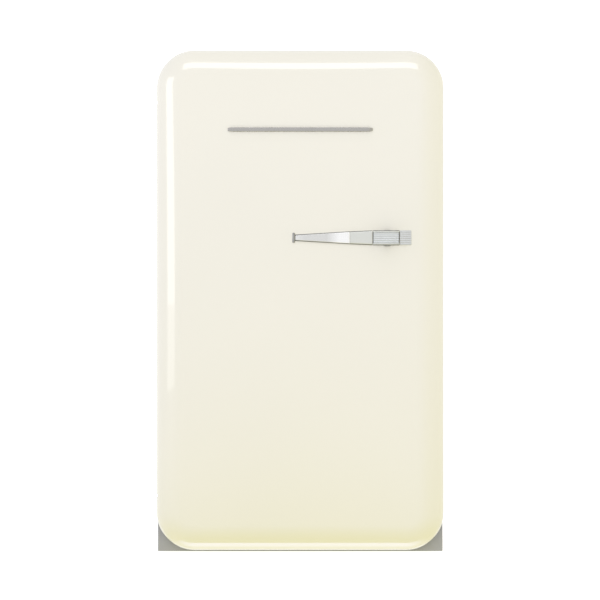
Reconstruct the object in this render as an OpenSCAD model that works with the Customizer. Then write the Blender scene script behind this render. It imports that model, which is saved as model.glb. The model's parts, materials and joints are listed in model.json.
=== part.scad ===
// Free-standing mini fridge with one crowned door, hinged on the left.
// Seen from the front: X runs to the right, Y to the back, Z up.
// The origin lies on the floor, at the middle of the fridge's width and depth.

/* [Body] */
// Width across the door
door_w = 543; // [540:1:546]
// Height from the underside of the base to the top of the door
body_h = 949; // [945:1:960]
// Depth from the front of the handle to the wall spacers at the rear
body_d = 632; // [630:1:636]
// Radius of the door's corners, seen from the front
corner_r = 72; // [66:1:78]
// How far the feet stand out below the base
foot_drop = 4; // [3:0.5:6]

/* [Door] */
// Thickness of the door at its middle
door_t = 88; // [84:1:92]
// How much the door's face rises from its edge zone to its middle
door_crown = 20; // [14:1:24]
// Width of the rounded edge zone, seen from the front
edge_w = 50; // [44:1:54]
// Depth of the rounded edge zone
edge_d = 45; // [40:1:48]
// Air gap between door and cabinet, which the gasket fills
seal_gap = 12; // [12:0.5:13]
// How far the handle stands proud of the middle of the door
handle_proud = 44; // [42:1:46]

/* [Cabinet] */
// Thickness of the insulated side walls with both skins
wall_t = 48.5; // [47:0.5:50]
// Height of the grey base
base_h = 60; // [58:1:62]
// Height of the inner floor
floor_z = 110; // [109:1:111]
// Height of the inner ceiling
ceiling_z = 900; // [899:1:902]
// Y of the inner back wall
back_y = 236; // [234:1:238]
// Heights of the two glass shelves
shelf_z = [400, 560]; // [380:1:580]

/* [Hidden] */
$fn = 48;
slack = 0.1;
far = 2000;

// Planes and heights
half_w = door_w / 2;
front_y = -body_d / 2;
apex_y = front_y + handle_proud;
door_y = apex_y + door_t;
side_y = door_y - (door_t - door_crown - edge_d);
cab_y = door_y + seal_gap;
wall_y = body_d / 2;
rear_y = wall_y - 20;
base_z = foot_drop;
top_z = base_z + body_h;
door_z0 = base_z + 4.5;
door_mid_z = (door_z0 + top_z) / 2;
half_h = (top_z - door_z0) / 2;
plinth_z = base_z + base_h;

// Cabinet shell
cab_hw = half_w - 1;
cab_top = top_z - 1;
cab_r = corner_r - 1;
skin_t = 1;
frame_t = 1.2;
liner_t = 2;
in_hw = half_w - 1 - wall_t;
tub_hw = in_hw + liner_t;
tub_r = 18;
in_r = tub_r - liner_t;
step_y = 96;
step_z = 250;
bay_y = 130;
bay_z = 212;
bay_hw = 224;
sheet_t = 2.5;

// Door inside
pan_t = 1;
flange_t = 2.5;
dyke_y = door_y + 65;
dyke_hw = [190, 206];
dyke_z = [142, 868];
dyke_t = 16;
gasket_hw = [228, 245];
gasket_z = [97, 914];

// Hinge
hinge_in = 16;
hinge_x = -half_w + hinge_in;
hinge_y = door_y - hinge_in;
hinge_z = [base_z + 105.5, top_z - 100];
arm_t = 3;
arm_r = 8;
pin_r = 4;
bush_r = 7;
bush_h = 13;
slot_gap = 1.5;

// Handle: ends of its pieces along X, and the height of its centre line
handle_z = base_z + 593;
tip_x = -15;
blade_x = -9.5;
collar_x = 92.5;
reed_x = 135;
cap_x = 185.5;
handle_end_x = 207.5;
foot_x = [155, 172];
foot_hh = 15.2;
handle_back_y = front_y + 22;
screw_x = (foot_x[0] + foot_x[1]) / 2;
screw_dz = [-8, 8];
screw_r = 2.5;

// Fittings
shelf_front_y = -62;
bin_y = [door_y + 3, door_y + 86];
bin_hw = 186;
bin_wall = 2.5;
dairy_z = [640, 715];
rack_z = [[430, 500], [150, 245]];
lid_pivot = [bin_y[0] + 4, dairy_z[1] + 4.5];
icebox_y = -45;
icebox_z = [745, 884];
icebox_hw = 214;
flap_pivot = [icebox_y - 11, 852];
flap_hw = 184;
knob_x = 192;
knob_yz = [0, 685];
housing_y = [-30, 110];
housing_z = [650, 720];
foot_xy = [225, cab_y + 94];
rear_foot_y = 268;
comp_xy = [-60, 213];
comp_r = 70;
coil_y = rear_y + 9;
coil_r = 2.4;
coil_pitch = 42;
coil_rows = 16;
coil_z0 = 256;
coil_hw = 188;
spacer_z = [120, 840];

// ---- Outlines in the XZ plane ----

function corner(cx, cz, start, r, n) =
    r == 0 ? [[cx, cz]]
    : [for (i = [0:n]) [cx + r * cos(start + 90 * i / n), cz + r * sin(start + 90 * i / n)]];

// Rectangle with its top corners rounded by rt and its bottom ones by rb
function outline(x0, x1, z0, z1, rt, rb, n = 12) = concat(
    corner(x1 - rt, z1 - rt, 0, rt, n),
    corner(x0 + rt, z1 - rt, 90, rt, n),
    corner(x0 + rb, z0 + rb, 180, rb, n),
    corner(x1 - rb, z0 + rb, 270, rb, n)
);

// Extrudes an outline from y0 back to y1
module slab(y0, y1) {
    translate([0, y1, 0])
    rotate([90, 0, 0])
    linear_extrude(y1 - y0)
    children();
}

module box(x0, x1, y0, y1, z0, z1) {
    translate([x0, y0, z0])
    cube([x1 - x0, y1 - y0, z1 - z0]);
}

module rod(from, to, r) {
    v = to - from;
    translate(from)
    rotate([0, acos(v[2] / norm(v)), atan2(v[1], v[0])])
    cylinder(h = norm(v), r = r);
}

// Copies to both sides of the middle plane
module both_sides() {
    children();
    mirror([1, 0, 0])
    children();
}

// ---- Swept tubes ----

function unit(v) = v / norm(v);

function headings(p) = [
    for (i = [0:len(p) - 1]) unit(p[min(i + 1, len(p) - 1)] - p[max(i - 1, 0)])
];

function carried(t, i, n) =
    i == len(t) ? []
    : let (m = unit(n - (n * t[i]) * t[i])) concat([m], carried(t, i + 1, m));

// Points of a route with each inner corner replaced by an arc-like curve
function rounded_route(p, r, n = 5) = concat(
    [p[0]],
    [for (i = [1:len(p) - 2])
        let (
            reach = min(r, norm(p[i - 1] - p[i]) * 0.45, norm(p[i + 1] - p[i]) * 0.45),
            a = p[i] + unit(p[i - 1] - p[i]) * reach,
            b = p[i] + unit(p[i + 1] - p[i]) * reach
        )
        for (k = [0:n]) let (s = k / n) (1 - s) * (1 - s) * a + 2 * s * (1 - s) * p[i] + s * s * b],
    [p[len(p) - 1]]
);

module tube(route, r, sides = 10) {
    t = headings(route);
    n = carried(t, 0, abs(t[0][2]) > 0.9 ? [1, 0, 0] : [0, 0, 1]);
    count = len(route);
    points = [
        for (i = [0:count - 1])
        for (k = [0:sides - 1])
        let (a = 360 * k / sides)
        route[i] + r * cos(a) * n[i] + r * sin(a) * cross(t[i], n[i])
    ];
    sides_faces = [
        for (i = [0:count - 2])
        for (k = [0:sides - 1])
        let (a = i * sides + k, b = i * sides + (k + 1) % sides)
        [a, a + sides, b + sides, b]
    ];
    polyhedron(points, concat(
        sides_faces,
        [[for (k = [0:sides - 1]) k]],
        [[for (k = [sides - 1:-1:0]) (count - 1) * sides + k]]
    ));
}

// ---- The door's crowned face ----

// Rise of the rounded edge at a distance d inside the outline
function edge_rise(d) = d >= edge_w ? edge_d : edge_d * sqrt(1 - pow(1 - d / edge_w, 2));

// Height of the crown, 1 at the middle and 0 at the outline
function crown(x, z) = (1 - pow(x / half_w, 2)) * (1 - pow((z - door_mid_z) / half_h, 2));

// Y of the door's face away from its rounded edge
function face_y(x, z) = side_y - edge_d - door_crown * crown(x, z);

// Y of the door's face at a distance d inside the outline
function rounded_y(x, z, d) = side_y - edge_rise(d) - door_crown * crown(x, z);

// Stretch of a straight side, without its ends
function between(a, b, n) = [for (i = [1:n - 1]) a + (b - a) * i / n];

// One ring of the door's surface: inset d, grown thickness t inwards
function ring(d, t, n_arc = 6, nx = 4, nz = 8) =
    let (
        w = half_w - t - d,
        h = half_h - t - d,
        r = max(corner_r - t - d, 3),
        c = [[w - r, h - r], [-w + r, h - r], [-w + r, -h + r], [w - r, -h + r]],
        arcs = [for (q = [0:3]) corner(c[q][0], c[q][1], 90 * q, r, n_arc)],
        flat = concat(
            arcs[0], between(arcs[0][n_arc], arcs[1][0], nx),
            arcs[1], between(arcs[1][n_arc], arcs[2][0], nz),
            arcs[2], between(arcs[2][n_arc], arcs[3][0], nx),
            arcs[3], between(arcs[3][n_arc], arcs[0][0], nz)
        )
    )
    [for (p = flat) [p[0], d > 0 ? rounded_y(p[0], p[1] + door_mid_z, d) + t : side_y, p[1] + door_mid_z]];

edge_steps = 8;
insets = concat(
    [for (i = [0:edge_steps]) edge_w * (1 - cos(90 * i / edge_steps))],
    [85, 130, 180, 230]
);

// Rings from the back edge at y_back over the face, and the point at its middle
function door_rings(t, y_back) = concat(
    [[for (p = ring(0, t)) [p[0], y_back, p[2]]]],
    [for (d = insets) ring(d, t)]
);

function skirt(rings, per, first, flip) = [
    for (i = [0:rings - 2])
    for (k = [0:per - 1])
    let (a = first + i * per + k, b = first + i * per + (k + 1) % per)
    flip ? [a, b, b + per, a + per] : [a, a + per, b + per, b]
];

function fan(per, first, tip, flip) = [
    for (k = [0:per - 1])
    let (a = first + k, b = first + (k + 1) % per)
    flip ? [b, tip, a] : [a, tip, b]
];

function flat_list(rings) = [for (r = rings) for (p = r) p];

module door_solid(t, y_back) {
    rings = door_rings(t, y_back);
    per = len(rings[0]);
    count = len(rings);
    points = concat(flat_list(rings), [[0, apex_y + t, door_mid_z]]);
    polyhedron(points, concat(
        skirt(count, per, 0, false),
        fan(per, (count - 1) * per, count * per, false),
        [[for (k = [0:per - 1]) (k + 3) % per]]
    ));
}

module door_pan() {
    outer = door_rings(0, door_y);
    inner = door_rings(pan_t, door_y);
    per = len(outer[0]);
    count = len(outer);
    half = count * per;
    points = concat(
        flat_list(outer), flat_list(inner),
        [[0, apex_y, door_mid_z], [0, apex_y + pan_t, door_mid_z]]
    );
    rim = [for (k = [0:per - 1]) let (j = (k + 1) % per) [k, j, half + j, half + k]];
    polyhedron(points, concat(
        skirt(count, per, 0, false),
        fan(per, half - per, 2 * half, false),
        skirt(count, per, half, true),
        fan(per, 2 * half - per, 2 * half + 1, true),
        rim
    ));
}

// Block whose back follows the door's face and whose front lies at front(x)
module on_face(xs, zs, proud, flat_y) {
    nx = len(xs);
    nz = len(zs);
    back = [for (x = xs) for (z = zs) [x, face_y(x, z), z]];
    front = [for (x = xs) for (z = zs) [x, proud > 0 ? face_y(x, z) - proud : flat_y, z]];
    n = nx * nz;
    cells = [for (i = [0:nx - 2]) for (j = [0:nz - 2]) i * nz + j];
    rim = concat(
        [for (j = [0:nz - 2]) [j, j + 1]],
        [for (i = [0:nx - 2]) [i * nz + nz - 1, (i + 1) * nz + nz - 1]],
        [for (j = [nz - 2:-1:0]) [(nx - 1) * nz + j + 1, (nx - 1) * nz + j]],
        [for (i = [nx - 2:-1:0]) [(i + 1) * nz, i * nz]]
    );
    polyhedron(concat(back, front), concat(
        [for (c = cells) [c, c + 1, c + nz + 1, c + nz]],
        [for (c = cells) [n + c, n + c + nz, n + c + nz + 1, n + c + 1]],
        [for (e = rim) [e[1], e[0], n + e[0], n + e[1]]]
    ));
}

// Room in the door's rear left edge for a hinge arm, and for its bushes
module hinge_room(bushes) {
    for (z = hinge_z) {
        box(
            -half_w - 2, hinge_x + arm_r + slot_gap,
            hinge_y - 19, cab_y,
            z - slot_gap, z + arm_t + slot_gap
        );
        if (bushes)
            translate([hinge_x, hinge_y, z - slot_gap - bush_h])
            cylinder(h = 2 * bush_h + 2 * slot_gap + arm_t, r = bush_r);
    }
}

module handle_screw_room(r) {
    for (dz = screw_dz)
        rod([screw_x, apex_y - 20, handle_z + dz], [screw_x, side_y, handle_z + dz], r);
}

// ---- Cabinet ----

module cab_outline(inset, bottom) {
    polygon(outline(-cab_hw + inset, cab_hw - inset, bottom, cab_top - inset, cab_r - inset, 0));
}

module tub_outline(hw, z0, z1, r) {
    polygon(outline(-hw, hw, z0, z1, r, r, 6));
}

module outer_wrap() {
    color("#f3efdf")
    slab(cab_y + frame_t, rear_y - skin_t)
    difference() {
        cab_outline(0, plinth_z);
        cab_outline(skin_t, plinth_z - 10);
    }
}

module rear_panel() {
    color("#c9cacb")
    slab(rear_y - skin_t, rear_y)
    difference() {
        cab_outline(0, plinth_z);
        translate([-bay_hw, 0])
        square([2 * bay_hw, bay_z]);
    }
}

module front_frame() {
    color("#f3efdf")
    slab(cab_y, cab_y + frame_t)
    difference() {
        cab_outline(0, plinth_z);
        tub_outline(tub_hw, floor_z - liner_t, ceiling_z + liner_t, tub_r);
    }
}

module foam_core() {
    color("#e8d9a8")
    difference() {
        slab(cab_y + frame_t, rear_y - skin_t)
        cab_outline(skin_t, plinth_z);
        difference() {
            slab(cab_y, back_y + liner_t)
            tub_outline(tub_hw, floor_z - liner_t, ceiling_z + liner_t, tub_r);
            box(-far, far, step_y + liner_t, far, 0, step_z - liner_t);
        }
        box(-bay_hw, bay_hw, bay_y, far, 0, bay_z);
    }
}

module ledge(z, y0, y1) {
    both_sides()
    box(in_hw - 8, in_hw + 1, y0, y1, z - 6, z - slack);
}

module inner_liner() {
    color("#f4f5f5") {
        difference() {
            slab(cab_y, back_y + liner_t)
            tub_outline(tub_hw, floor_z - liner_t, ceiling_z + liner_t, tub_r);
            difference() {
                slab(cab_y - 1, back_y)
                tub_outline(in_hw, floor_z, ceiling_z, in_r);
                box(-far, far, step_y, far, 0, step_z);
            }
            box(-far, far, step_y + liner_t, far, 0, step_z - liner_t);
        }
        for (z = shelf_z)
            ledge(z, shelf_front_y - 40, back_y);
        ledge(step_z + slack, shelf_front_y + 6, step_y);
    }
}

module bay_shield() {
    color("#b9bcbe") {
        box(-bay_hw, bay_hw, bay_y, bay_y + frame_t, plinth_z, bay_z);
        box(-bay_hw, bay_hw, bay_y, rear_y, bay_z - frame_t, bay_z);
    }
}

module foot_housing(x) {
    translate([x, foot_xy[1], base_z]) {
        difference() {
            cylinder(h = 12, r = 24);
            translate([0, 0, -1])
            cylinder(h = 9 + slack, r = 20.5);
        }
        translate([0, 0, 10])
        cylinder(h = 26, r = 10);
    }
}

module base_tray() {
    color("#a9aaac")
    difference() {
        union() {
            box(-cab_hw, cab_hw, cab_y + 3, rear_y, base_z, base_z + sheet_t);
            both_sides()
            box(cab_hw - sheet_t, cab_hw, cab_y + 43, rear_y, base_z, plinth_z);
            box(-cab_hw, cab_hw, rear_y - sheet_t, rear_y, base_z, base_z + 36);
            for (x = [-foot_xy[0], foot_xy[0]])
                foot_housing(x);
        }
        for (x = [-foot_xy[0], foot_xy[0]]) {
            translate([x, foot_xy[1], -1])
            cylinder(h = base_z + 9 + slack, r = 20.5);
            translate([x, foot_xy[1], 0])
            cylinder(h = 60, r = pin_r + 0.05);
            translate([x, rear_foot_y, 0])
            cylinder(h = 20, r = 5);
        }
        box(-205, 205, 160, 250, 0, 20);
        rod([170, 280, base_z + 20], [170, 300, base_z + 20], 7);
    }
}

module front_plinth() {
    color("#a8a8aa") {
        box(-cab_hw, cab_hw, cab_y, cab_y + 3, base_z, plinth_z);
        both_sides()
        box(cab_hw - 3, cab_hw, cab_y, cab_y + 43, base_z + sheet_t, plinth_z);
    }
}

module front_foot(side) {
    color("#4a4b4d")
    translate([side * foot_xy[0], foot_xy[1], 0]) {
        cylinder(h = 3, r1 = 15.5, r2 = 17);
        translate([0, 0, 3])
        cylinder(h = base_z + 5, r = 17);
        cylinder(h = base_z + 34, r = pin_r);
    }
}

module left_foot() {
    front_foot(-1);
}

module right_foot() {
    front_foot(1);
}

module rear_feet() {
    color("#4a4b4d")
    for (x = [-foot_xy[0], foot_xy[0]])
        translate([x, rear_foot_y, 0]) {
            cylinder(h = base_z, r = 17);
            cylinder(h = base_z + 8, r = 5);
        }
}

// ---- Hinges ----

module hinge_bracket(z) {
    color("#b7babd")
    difference() {
        union() {
            box(hinge_x - 10.5, hinge_x + 8.5, cab_y - 2.5, cab_y, z - 20, z + 23);
            box(hinge_x - arm_r, hinge_x + arm_r, hinge_y, cab_y, z, z + arm_t);
            translate([hinge_x, hinge_y, z])
            cylinder(h = arm_t, r = arm_r);
        }
        translate([hinge_x, hinge_y, z - 1])
        cylinder(h = arm_t + 2, r = pin_r);
    }
}

module upper_hinge_bracket() {
    hinge_bracket(hinge_z[1]);
}

module lower_hinge_bracket() {
    hinge_bracket(hinge_z[0]);
}

module hinge_pins() {
    color("#9a9da0")
    for (z = hinge_z)
        translate([hinge_x, hinge_y, z - 13])
        cylinder(h = 26 + arm_t, r = pin_r);
}

module hinge_bushes() {
    color("#dcdcdc")
    for (z = hinge_z, lift = [-slot_gap - bush_h, arm_t + slot_gap])
        translate([hinge_x, hinge_y, z + lift])
        difference() {
            cylinder(h = bush_h, r = bush_r);
            translate([0, 0, -1])
            cylinder(h = bush_h + 2, r = pin_r + 0.05);
        }
}

module hinge_screws() {
    color("#8f9194")
    for (z = hinge_z, dz = [-13, 16])
        rod([hinge_x - 1, cab_y - 4, z + dz], [hinge_x - 1, cab_y - 2.5, z + dz], 4);
}

// ---- Cooling system in the rear bay ----

module compressor() {
    color("#2b2c2e")
    translate([comp_xy[0], comp_xy[1], 0])
    difference() {
        union() {
            rotate_extrude()
            polygon(concat(
                [[0, 26], [comp_r - 14, 26]],
                [for (a = [-80:20:0]) [comp_r - 14 + 14 * cos(a), 40 + 14 * sin(a)]],
                [[comp_r, 98], [comp_r + 4, 98], [comp_r + 4, 103], [comp_r, 103], [comp_r, 146]],
                [for (a = [10:10:80]) [comp_r * cos(a), 146 + 40 * sin(a)]],
                [[0, 186]]
            ));
            box(-88, 88, -45, 45, 30, 33);
        }
        for (x = [-78, 78], y = [-34, 34])
            translate([x, y, 20])
            cylinder(h = 20, r = 7);
    }
}

module compressor_rail() {
    color("#8d9093")
    difference() {
        union() {
            box(-165, 45, 148, 278, 16, 18.5);
            box(-165, 45, 148, 150.5, base_z + sheet_t, 16);
            box(-165, 45, 275.5, 278, base_z + sheet_t, 16);
        }
        for (x = [-78, 78], y = [-34, 34])
            translate([comp_xy[0] + x, comp_xy[1] + y, 10])
            cylinder(h = 12, r = pin_r);
    }
}

module at_compressor_corners() {
    for (x = [-78, 78], y = [-34, 34])
        translate([comp_xy[0] + x, comp_xy[1] + y, 0])
        children();
}

module compressor_grommets() {
    color("#1f1f1f")
    at_compressor_corners()
    difference() {
        union() {
            translate([0, 0, 18.5])
            cylinder(h = 11.5, r = 10);
            translate([0, 0, 30])
            cylinder(h = 3, r = 7);
            translate([0, 0, 33])
            cylinder(h = 5, r = 10);
        }
        translate([0, 0, 18])
        cylinder(h = 21, r = pin_r);
    }
}

module compressor_bolts() {
    color("#b3b5b8")
    at_compressor_corners() {
        translate([0, 0, 12])
        cylinder(h = 26, r = pin_r);
        translate([0, 0, 38])
        cylinder(h = 5, r = 7, $fn = 6);
    }
}

module relay_box() {
    color("#e4e2da")
    difference() {
        box(comp_xy[0] + 50, comp_xy[0] + 100, comp_xy[1] - 30, comp_xy[1] + 30, 52, 96);
        translate([comp_xy[0], comp_xy[1], 40])
        cylinder(h = 70, r = comp_r);
    }
}

module drain_tray() {
    color("#d9dadb")
    difference() {
        box(comp_xy[0] - 62, comp_xy[0] + 62, comp_xy[1] - 46, comp_xy[1] + 46, 186, 207);
        box(comp_xy[0] - 60, comp_xy[0] + 60, comp_xy[1] - 44, comp_xy[1] + 44, 188, 210);
    }
}

function coil_row_z(i) = coil_z0 + i * coil_pitch;
coil_top = coil_row_z(coil_rows - 1);

module condenser_coil() {
    color("#1d1e20") {
        for (i = [0:coil_rows - 1])
            rod([-coil_hw, coil_y, coil_row_z(i)], [coil_hw, coil_y, coil_row_z(i)], coil_r);
        for (i = [0:coil_rows - 2])
            translate([i % 2 == 0 ? -coil_hw : coil_hw, coil_y, coil_row_z(i + 0.5)])
            rotate([90, i % 2 == 0 ? -90 : 90, 0])
            rotate_extrude(angle = 180)
            translate([coil_pitch / 2, 0])
            circle(coil_r);
    }
}

module condenser_wires() {
    color("#26272a")
    for (x = [-176:16:176], y = [coil_y - coil_r - 0.8, coil_y + coil_r + 0.8])
        rod([x, y, coil_z0 - 10], [x, y, coil_top + 10], 0.75);
}

module condenser_clips() {
    color("#3a3b3d")
    for (x = [-184, 184], i = [2, coil_rows - 3])
        difference() {
            box(x - 4, x + 4, rear_y, coil_y + 5, coil_row_z(i) - 6, coil_row_z(i) + 6);
            rod([x - 10, coil_y, coil_row_z(i)], [x + 10, coil_y, coil_row_z(i)], coil_r);
        }
}

module wall_spacers() {
    color("#3f4042")
    both_sides()
    for (z = spacer_z) {
        box(238, 258, rear_y, wall_y, z, z + 16);
        box(232, 264, rear_y, rear_y + 4, z - 6, z + 22);
    }
}

module filter_dryer() {
    color("#b87a4b")
    translate([150, 222, 0]) {
        translate([0, 0, 96])
        cylinder(h = 74, r = 9);
        translate([0, 0, 170])
        cylinder(h = 12, r1 = 9, r2 = 3);
        translate([0, 0, 84])
        cylinder(h = 12, r1 = 3, r2 = 9);
    }
}

// Discharge, down line, capillary and suction lines
module refrigerant_lines() {
    color("#b87a4b") {
        tube(rounded_route([
            [comp_xy[0] + comp_r - 0.5, comp_xy[1] + 24, 136], [60, 250, 136], [60, 284, 140],
            [200, 290, 146], [200, 305, 180], [200, 305, coil_z0], [coil_hw + 0.5, coil_y, coil_z0]
        ], 18), coil_r);
        tube(rounded_route([
            [coil_hw + 0.5, coil_y, coil_top], [226, coil_y, coil_top], [226, coil_y, 212],
            [214, 300, 192], [150, 240, 196], [150, 222, 196], [150, 222, 182]
        ], 16), coil_r);
        tube(rounded_route([
            [150, 222, 84], [150, 222, 66], [150, 190, 60], [110, 160, 70], [110, bay_y + frame_t, 70]
        ], 12), 1.2, 8);
        tube(rounded_route([
            [comp_xy[0] - comp_r + 0.5, comp_xy[1] - 10, 136], [-160, 203, 136], [-185, 180, 136],
            [-185, 160, 110], [-185, bay_y + frame_t, 110]
        ], 18), 4);
    }
}

module cord_inlet() {
    color("#2a2a2a")
    translate([0, 0, base_z + 20]) {
        rod([170, rear_y - 10, 0], [170, rear_y, 0], 7);
        rod([170, rear_y, 0], [170, rear_y + 3, 0], 11);
        rod([170, rear_y - 14, 0], [170, rear_y - 10, 0], 10);
    }
}

// ---- Ice compartment ----

module icebox() {
    color("#d4d7d9")
    difference() {
        slab(icebox_y, back_y - 8)
        tub_outline(icebox_hw, icebox_z[0], icebox_z[1], 14);
        slab(icebox_y - 1, back_y - 11)
        tub_outline(icebox_hw - 3, icebox_z[0] + 3, icebox_z[1] - 3, 11);
    }
}

module icebox_frame() {
    color("#eceeee") {
        difference() {
            slab(icebox_y - 5, icebox_y)
            tub_outline(icebox_hw, icebox_z[0], icebox_z[1], 14);
            slab(icebox_y - 6, icebox_y + 1)
            tub_outline(178, icebox_z[0] + 11, 846, 8);
        }
        both_sides()
        difference() {
            box(flap_hw + 1, flap_hw + 8, icebox_y - 15, icebox_y - 5, 844, 860);
            rod(concat(flap_hw - 5, flap_pivot), concat(flap_hw + 20, flap_pivot), 2.55);
        }
    }
}

module icebox_hangers() {
    color("#c3c6c8")
    for (x = [-150, 150], y = [10, 190])
        translate([x, y, icebox_z[1]])
        cylinder(h = ceiling_z - icebox_z[1], r = 7);
}

module icebox_flap() {
    color("#e8f1f4") {
        box(-flap_hw, flap_hw, flap_pivot[0] - 2.5, flap_pivot[0] + 2.5, 750, flap_pivot[1]);
        rod([-flap_hw, flap_pivot[0], flap_pivot[1]], [flap_hw, flap_pivot[0], flap_pivot[1]], 4);
        rod([-flap_hw - 7, flap_pivot[0], flap_pivot[1]], [flap_hw + 7, flap_pivot[0], flap_pivot[1]], 2.5);
        box(-60, 60, flap_pivot[0] - 12, flap_pivot[0] - 2.5, 752, 757);
    }
}

// ---- Thermostat and lamp ----

module thermostat_housing() {
    color("#f1f2f2")
    difference() {
        box(knob_x, in_hw, housing_y[0], housing_y[1], housing_z[0], housing_z[1]);
        box(knob_x + 2, in_hw + 1, housing_y[0] + 2, housing_y[1] - 2, housing_z[0] + 2, housing_z[1] - 2);
        box(knob_x - 1, knob_x + 3, 36, 100, housing_z[0] + 10, housing_z[1] - 10);
        rod([knob_x - 1, knob_yz[0], knob_yz[1]], [knob_x + 5, knob_yz[0], knob_yz[1]], 3.05);
    }
}

module thermostat_knob() {
    color("#fafafa") {
        difference() {
            rod([knob_x - 14, knob_yz[0], knob_yz[1]], [knob_x - 0.5, knob_yz[0], knob_yz[1]], 17);
            for (a = [0:30:330])
                translate([0, knob_yz[0] + 17.6 * cos(a), knob_yz[1] + 17.6 * sin(a)])
                rod([knob_x - 20, 0, 0], [knob_x - 4, 0, 0], 1.6);
        }
        rod([knob_x - 1, knob_yz[0], knob_yz[1]], [knob_x + 12, knob_yz[0], knob_yz[1]], 3);
        box(knob_x - 15, knob_x - 13, -1, 1, knob_yz[1] + 5, knob_yz[1] + 15);
    }
}

module lamp_board() {
    color("#3d7a4a")
    box(in_hw - 10, in_hw, 40, 96, housing_z[0] + 14, housing_z[1] - 14);
}

module lamp_lens() {
    color("#fbfbf4")
    difference() {
        box(knob_x - 3, knob_x + 2, 36.2, 99.8, housing_z[0] + 10.2, housing_z[1] - 10.2);
        box(knob_x - 1, knob_x + 3, 38, 98, housing_z[0] + 12, housing_z[1] - 12);
    }
}

// ---- Shelves and crisper ----

module shelf_glass(z) {
    color("#cfe6e2")
    box(-in_hw + 4, in_hw - 4, shelf_front_y + 6, back_y - 12, z, z + 4);
}

module shelf_trim(z) {
    color("#dfe3e4")
    difference() {
        union() {
            box(-in_hw + 4, in_hw - 4, shelf_front_y, shelf_front_y + 12, z, z + 9);
            box(-in_hw + 4, in_hw - 4, back_y - 18, back_y - 6, z, z + 18);
        }
        box(-in_hw, in_hw, shelf_front_y + 6, back_y - 12, z - 1, z + 4);
    }
}

module upper_shelf_glass() {
    shelf_glass(shelf_z[1]);
}

module upper_shelf_trim() {
    shelf_trim(shelf_z[1]);
}

module lower_shelf_glass() {
    shelf_glass(shelf_z[0]);
}

module lower_shelf_trim() {
    shelf_trim(shelf_z[0]);
}

module crisper_cover() {
    shelf_glass(step_z);
}

module crisper_cover_trim() {
    shelf_trim(step_z);
}

module crisper_drawer() {
    color("#dcebee")
    difference() {
        union() {
            box(-207, 207, shelf_front_y + 4, step_y - 8, floor_z + 1, 238);
            box(-207, 207, shelf_front_y - 4, shelf_front_y + 4, 160, 238);
        }
        box(-204.5, 204.5, shelf_front_y + 6.5, step_y - 10.5, floor_z + 3.5, 240);
        box(-70, 70, shelf_front_y - 5, shelf_front_y + 1.5, 200, 230);
    }
}

// ---- Door ----

module door_skin() {
    color("#f3efdf")
    difference() {
        door_pan();
        hinge_room(false);
        handle_screw_room(screw_r + slack);
    }
}

module door_foam() {
    color("#e8d9a8")
    difference() {
        door_solid(pan_t, door_y - flange_t);
        hinge_room(true);
        handle_screw_room(4.5 + slack);
    }
}

module dyke_outline(grow) {
    polygon(outline(
        -dyke_hw[0] - grow, dyke_hw[0] + grow, dyke_z[0] - grow, dyke_z[1] + grow, 12 + grow, 12 + grow, 6
    ));
}

module door_liner() {
    inset = pan_t;
    color("#f4f5f5")
    difference() {
        union() {
            slab(door_y - flange_t, door_y)
            translate([0, door_mid_z])
            polygon([for (p = ring(0, inset)) [p[0], p[2] - door_mid_z]]);
            slab(door_y - 1, dyke_y)
            difference() {
                dyke_outline(dyke_t);
                dyke_outline(0);
            }
            both_sides()
            for (z = concat([dairy_z[1]], [for (r = rack_z) r[1]]))
                box(bin_hw + 0.2, dyke_hw[0] + 1, door_y + 22, door_y + 42, z - 44, z - 20);
        }
        hinge_room(true);
    }
}

module door_gasket() {
    color("#e9e9e6")
    slab(door_y, cab_y - 0.3)
    difference() {
        polygon(outline(-gasket_hw[1], gasket_hw[1], gasket_z[0] - 17, gasket_z[1] + 17, 30, 30, 6));
        polygon(outline(-gasket_hw[0], gasket_hw[0], gasket_z[0], gasket_z[1], 13, 13, 6));
    }
}

// ---- Handle and badge ----

// Front of the handle: a row of rounded ribs across its height
function reeds(half, n, y, depth) = [
    for (i = [0:n - 1])
    for (k = [0:4])
    let (a = 180 * k / 4)
    [y + depth - depth * sin(a), -half + (i + 0.5 - 0.5 * cos(a)) * 2 * half / n]
];

// Extrudes a shape drawn in the YZ plane from x0 to x1
module bar(x0, x1) {
    translate([x0, 0, handle_z])
    rotate([90, 0, 90])
    linear_extrude(x1 - x0)
    children();
}

// Section of the handle with a ribbed panel, half as high as rib_hh, sunk between two rims
module ribbed_section(half, rib_hh, ribs, sunk) {
    polygon(concat(
        [[handle_back_y, -half], [front_y, -half], [front_y, -rib_hh]],
        reeds(rib_hh, ribs, front_y + sunk, 1.2),
        [[front_y, rib_hh], [front_y, half], [handle_back_y, half]]
    ));
}

module handle_foot() {
    color("#8f9295")
    difference() {
        on_face(
            [for (i = [0:3]) foot_x[0] + (foot_x[1] - foot_x[0]) * i / 3],
            [for (i = [-2:2]) handle_z + foot_hh * i / 2],
            0, handle_back_y
        );
        for (dz = screw_dz)
            rod([screw_x, handle_back_y + 4, handle_z + dz], [screw_x, apex_y + 20, handle_z + dz], screw_r);
    }
}

module handle_body() {
    color("#b5b7b9")
    bar(reed_x, cap_x)
    ribbed_section(14, 10.5, 6, 1.5);
}

module handle_end_cap() {
    color("#d5d6d8")
    bar(cap_x, handle_end_x)
    ribbed_section(14, 12.5, 8, 0.4);
}

module handle_collar() {
    color("#dadbdd")
    translate([0, front_y + 16, handle_z])
    rotate([90, 0, 0])
    linear_extrude(14)
    polygon([[collar_x, -12], [reed_x, -13.8], [reed_x, 13.8], [collar_x, 12]]);
}

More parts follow.
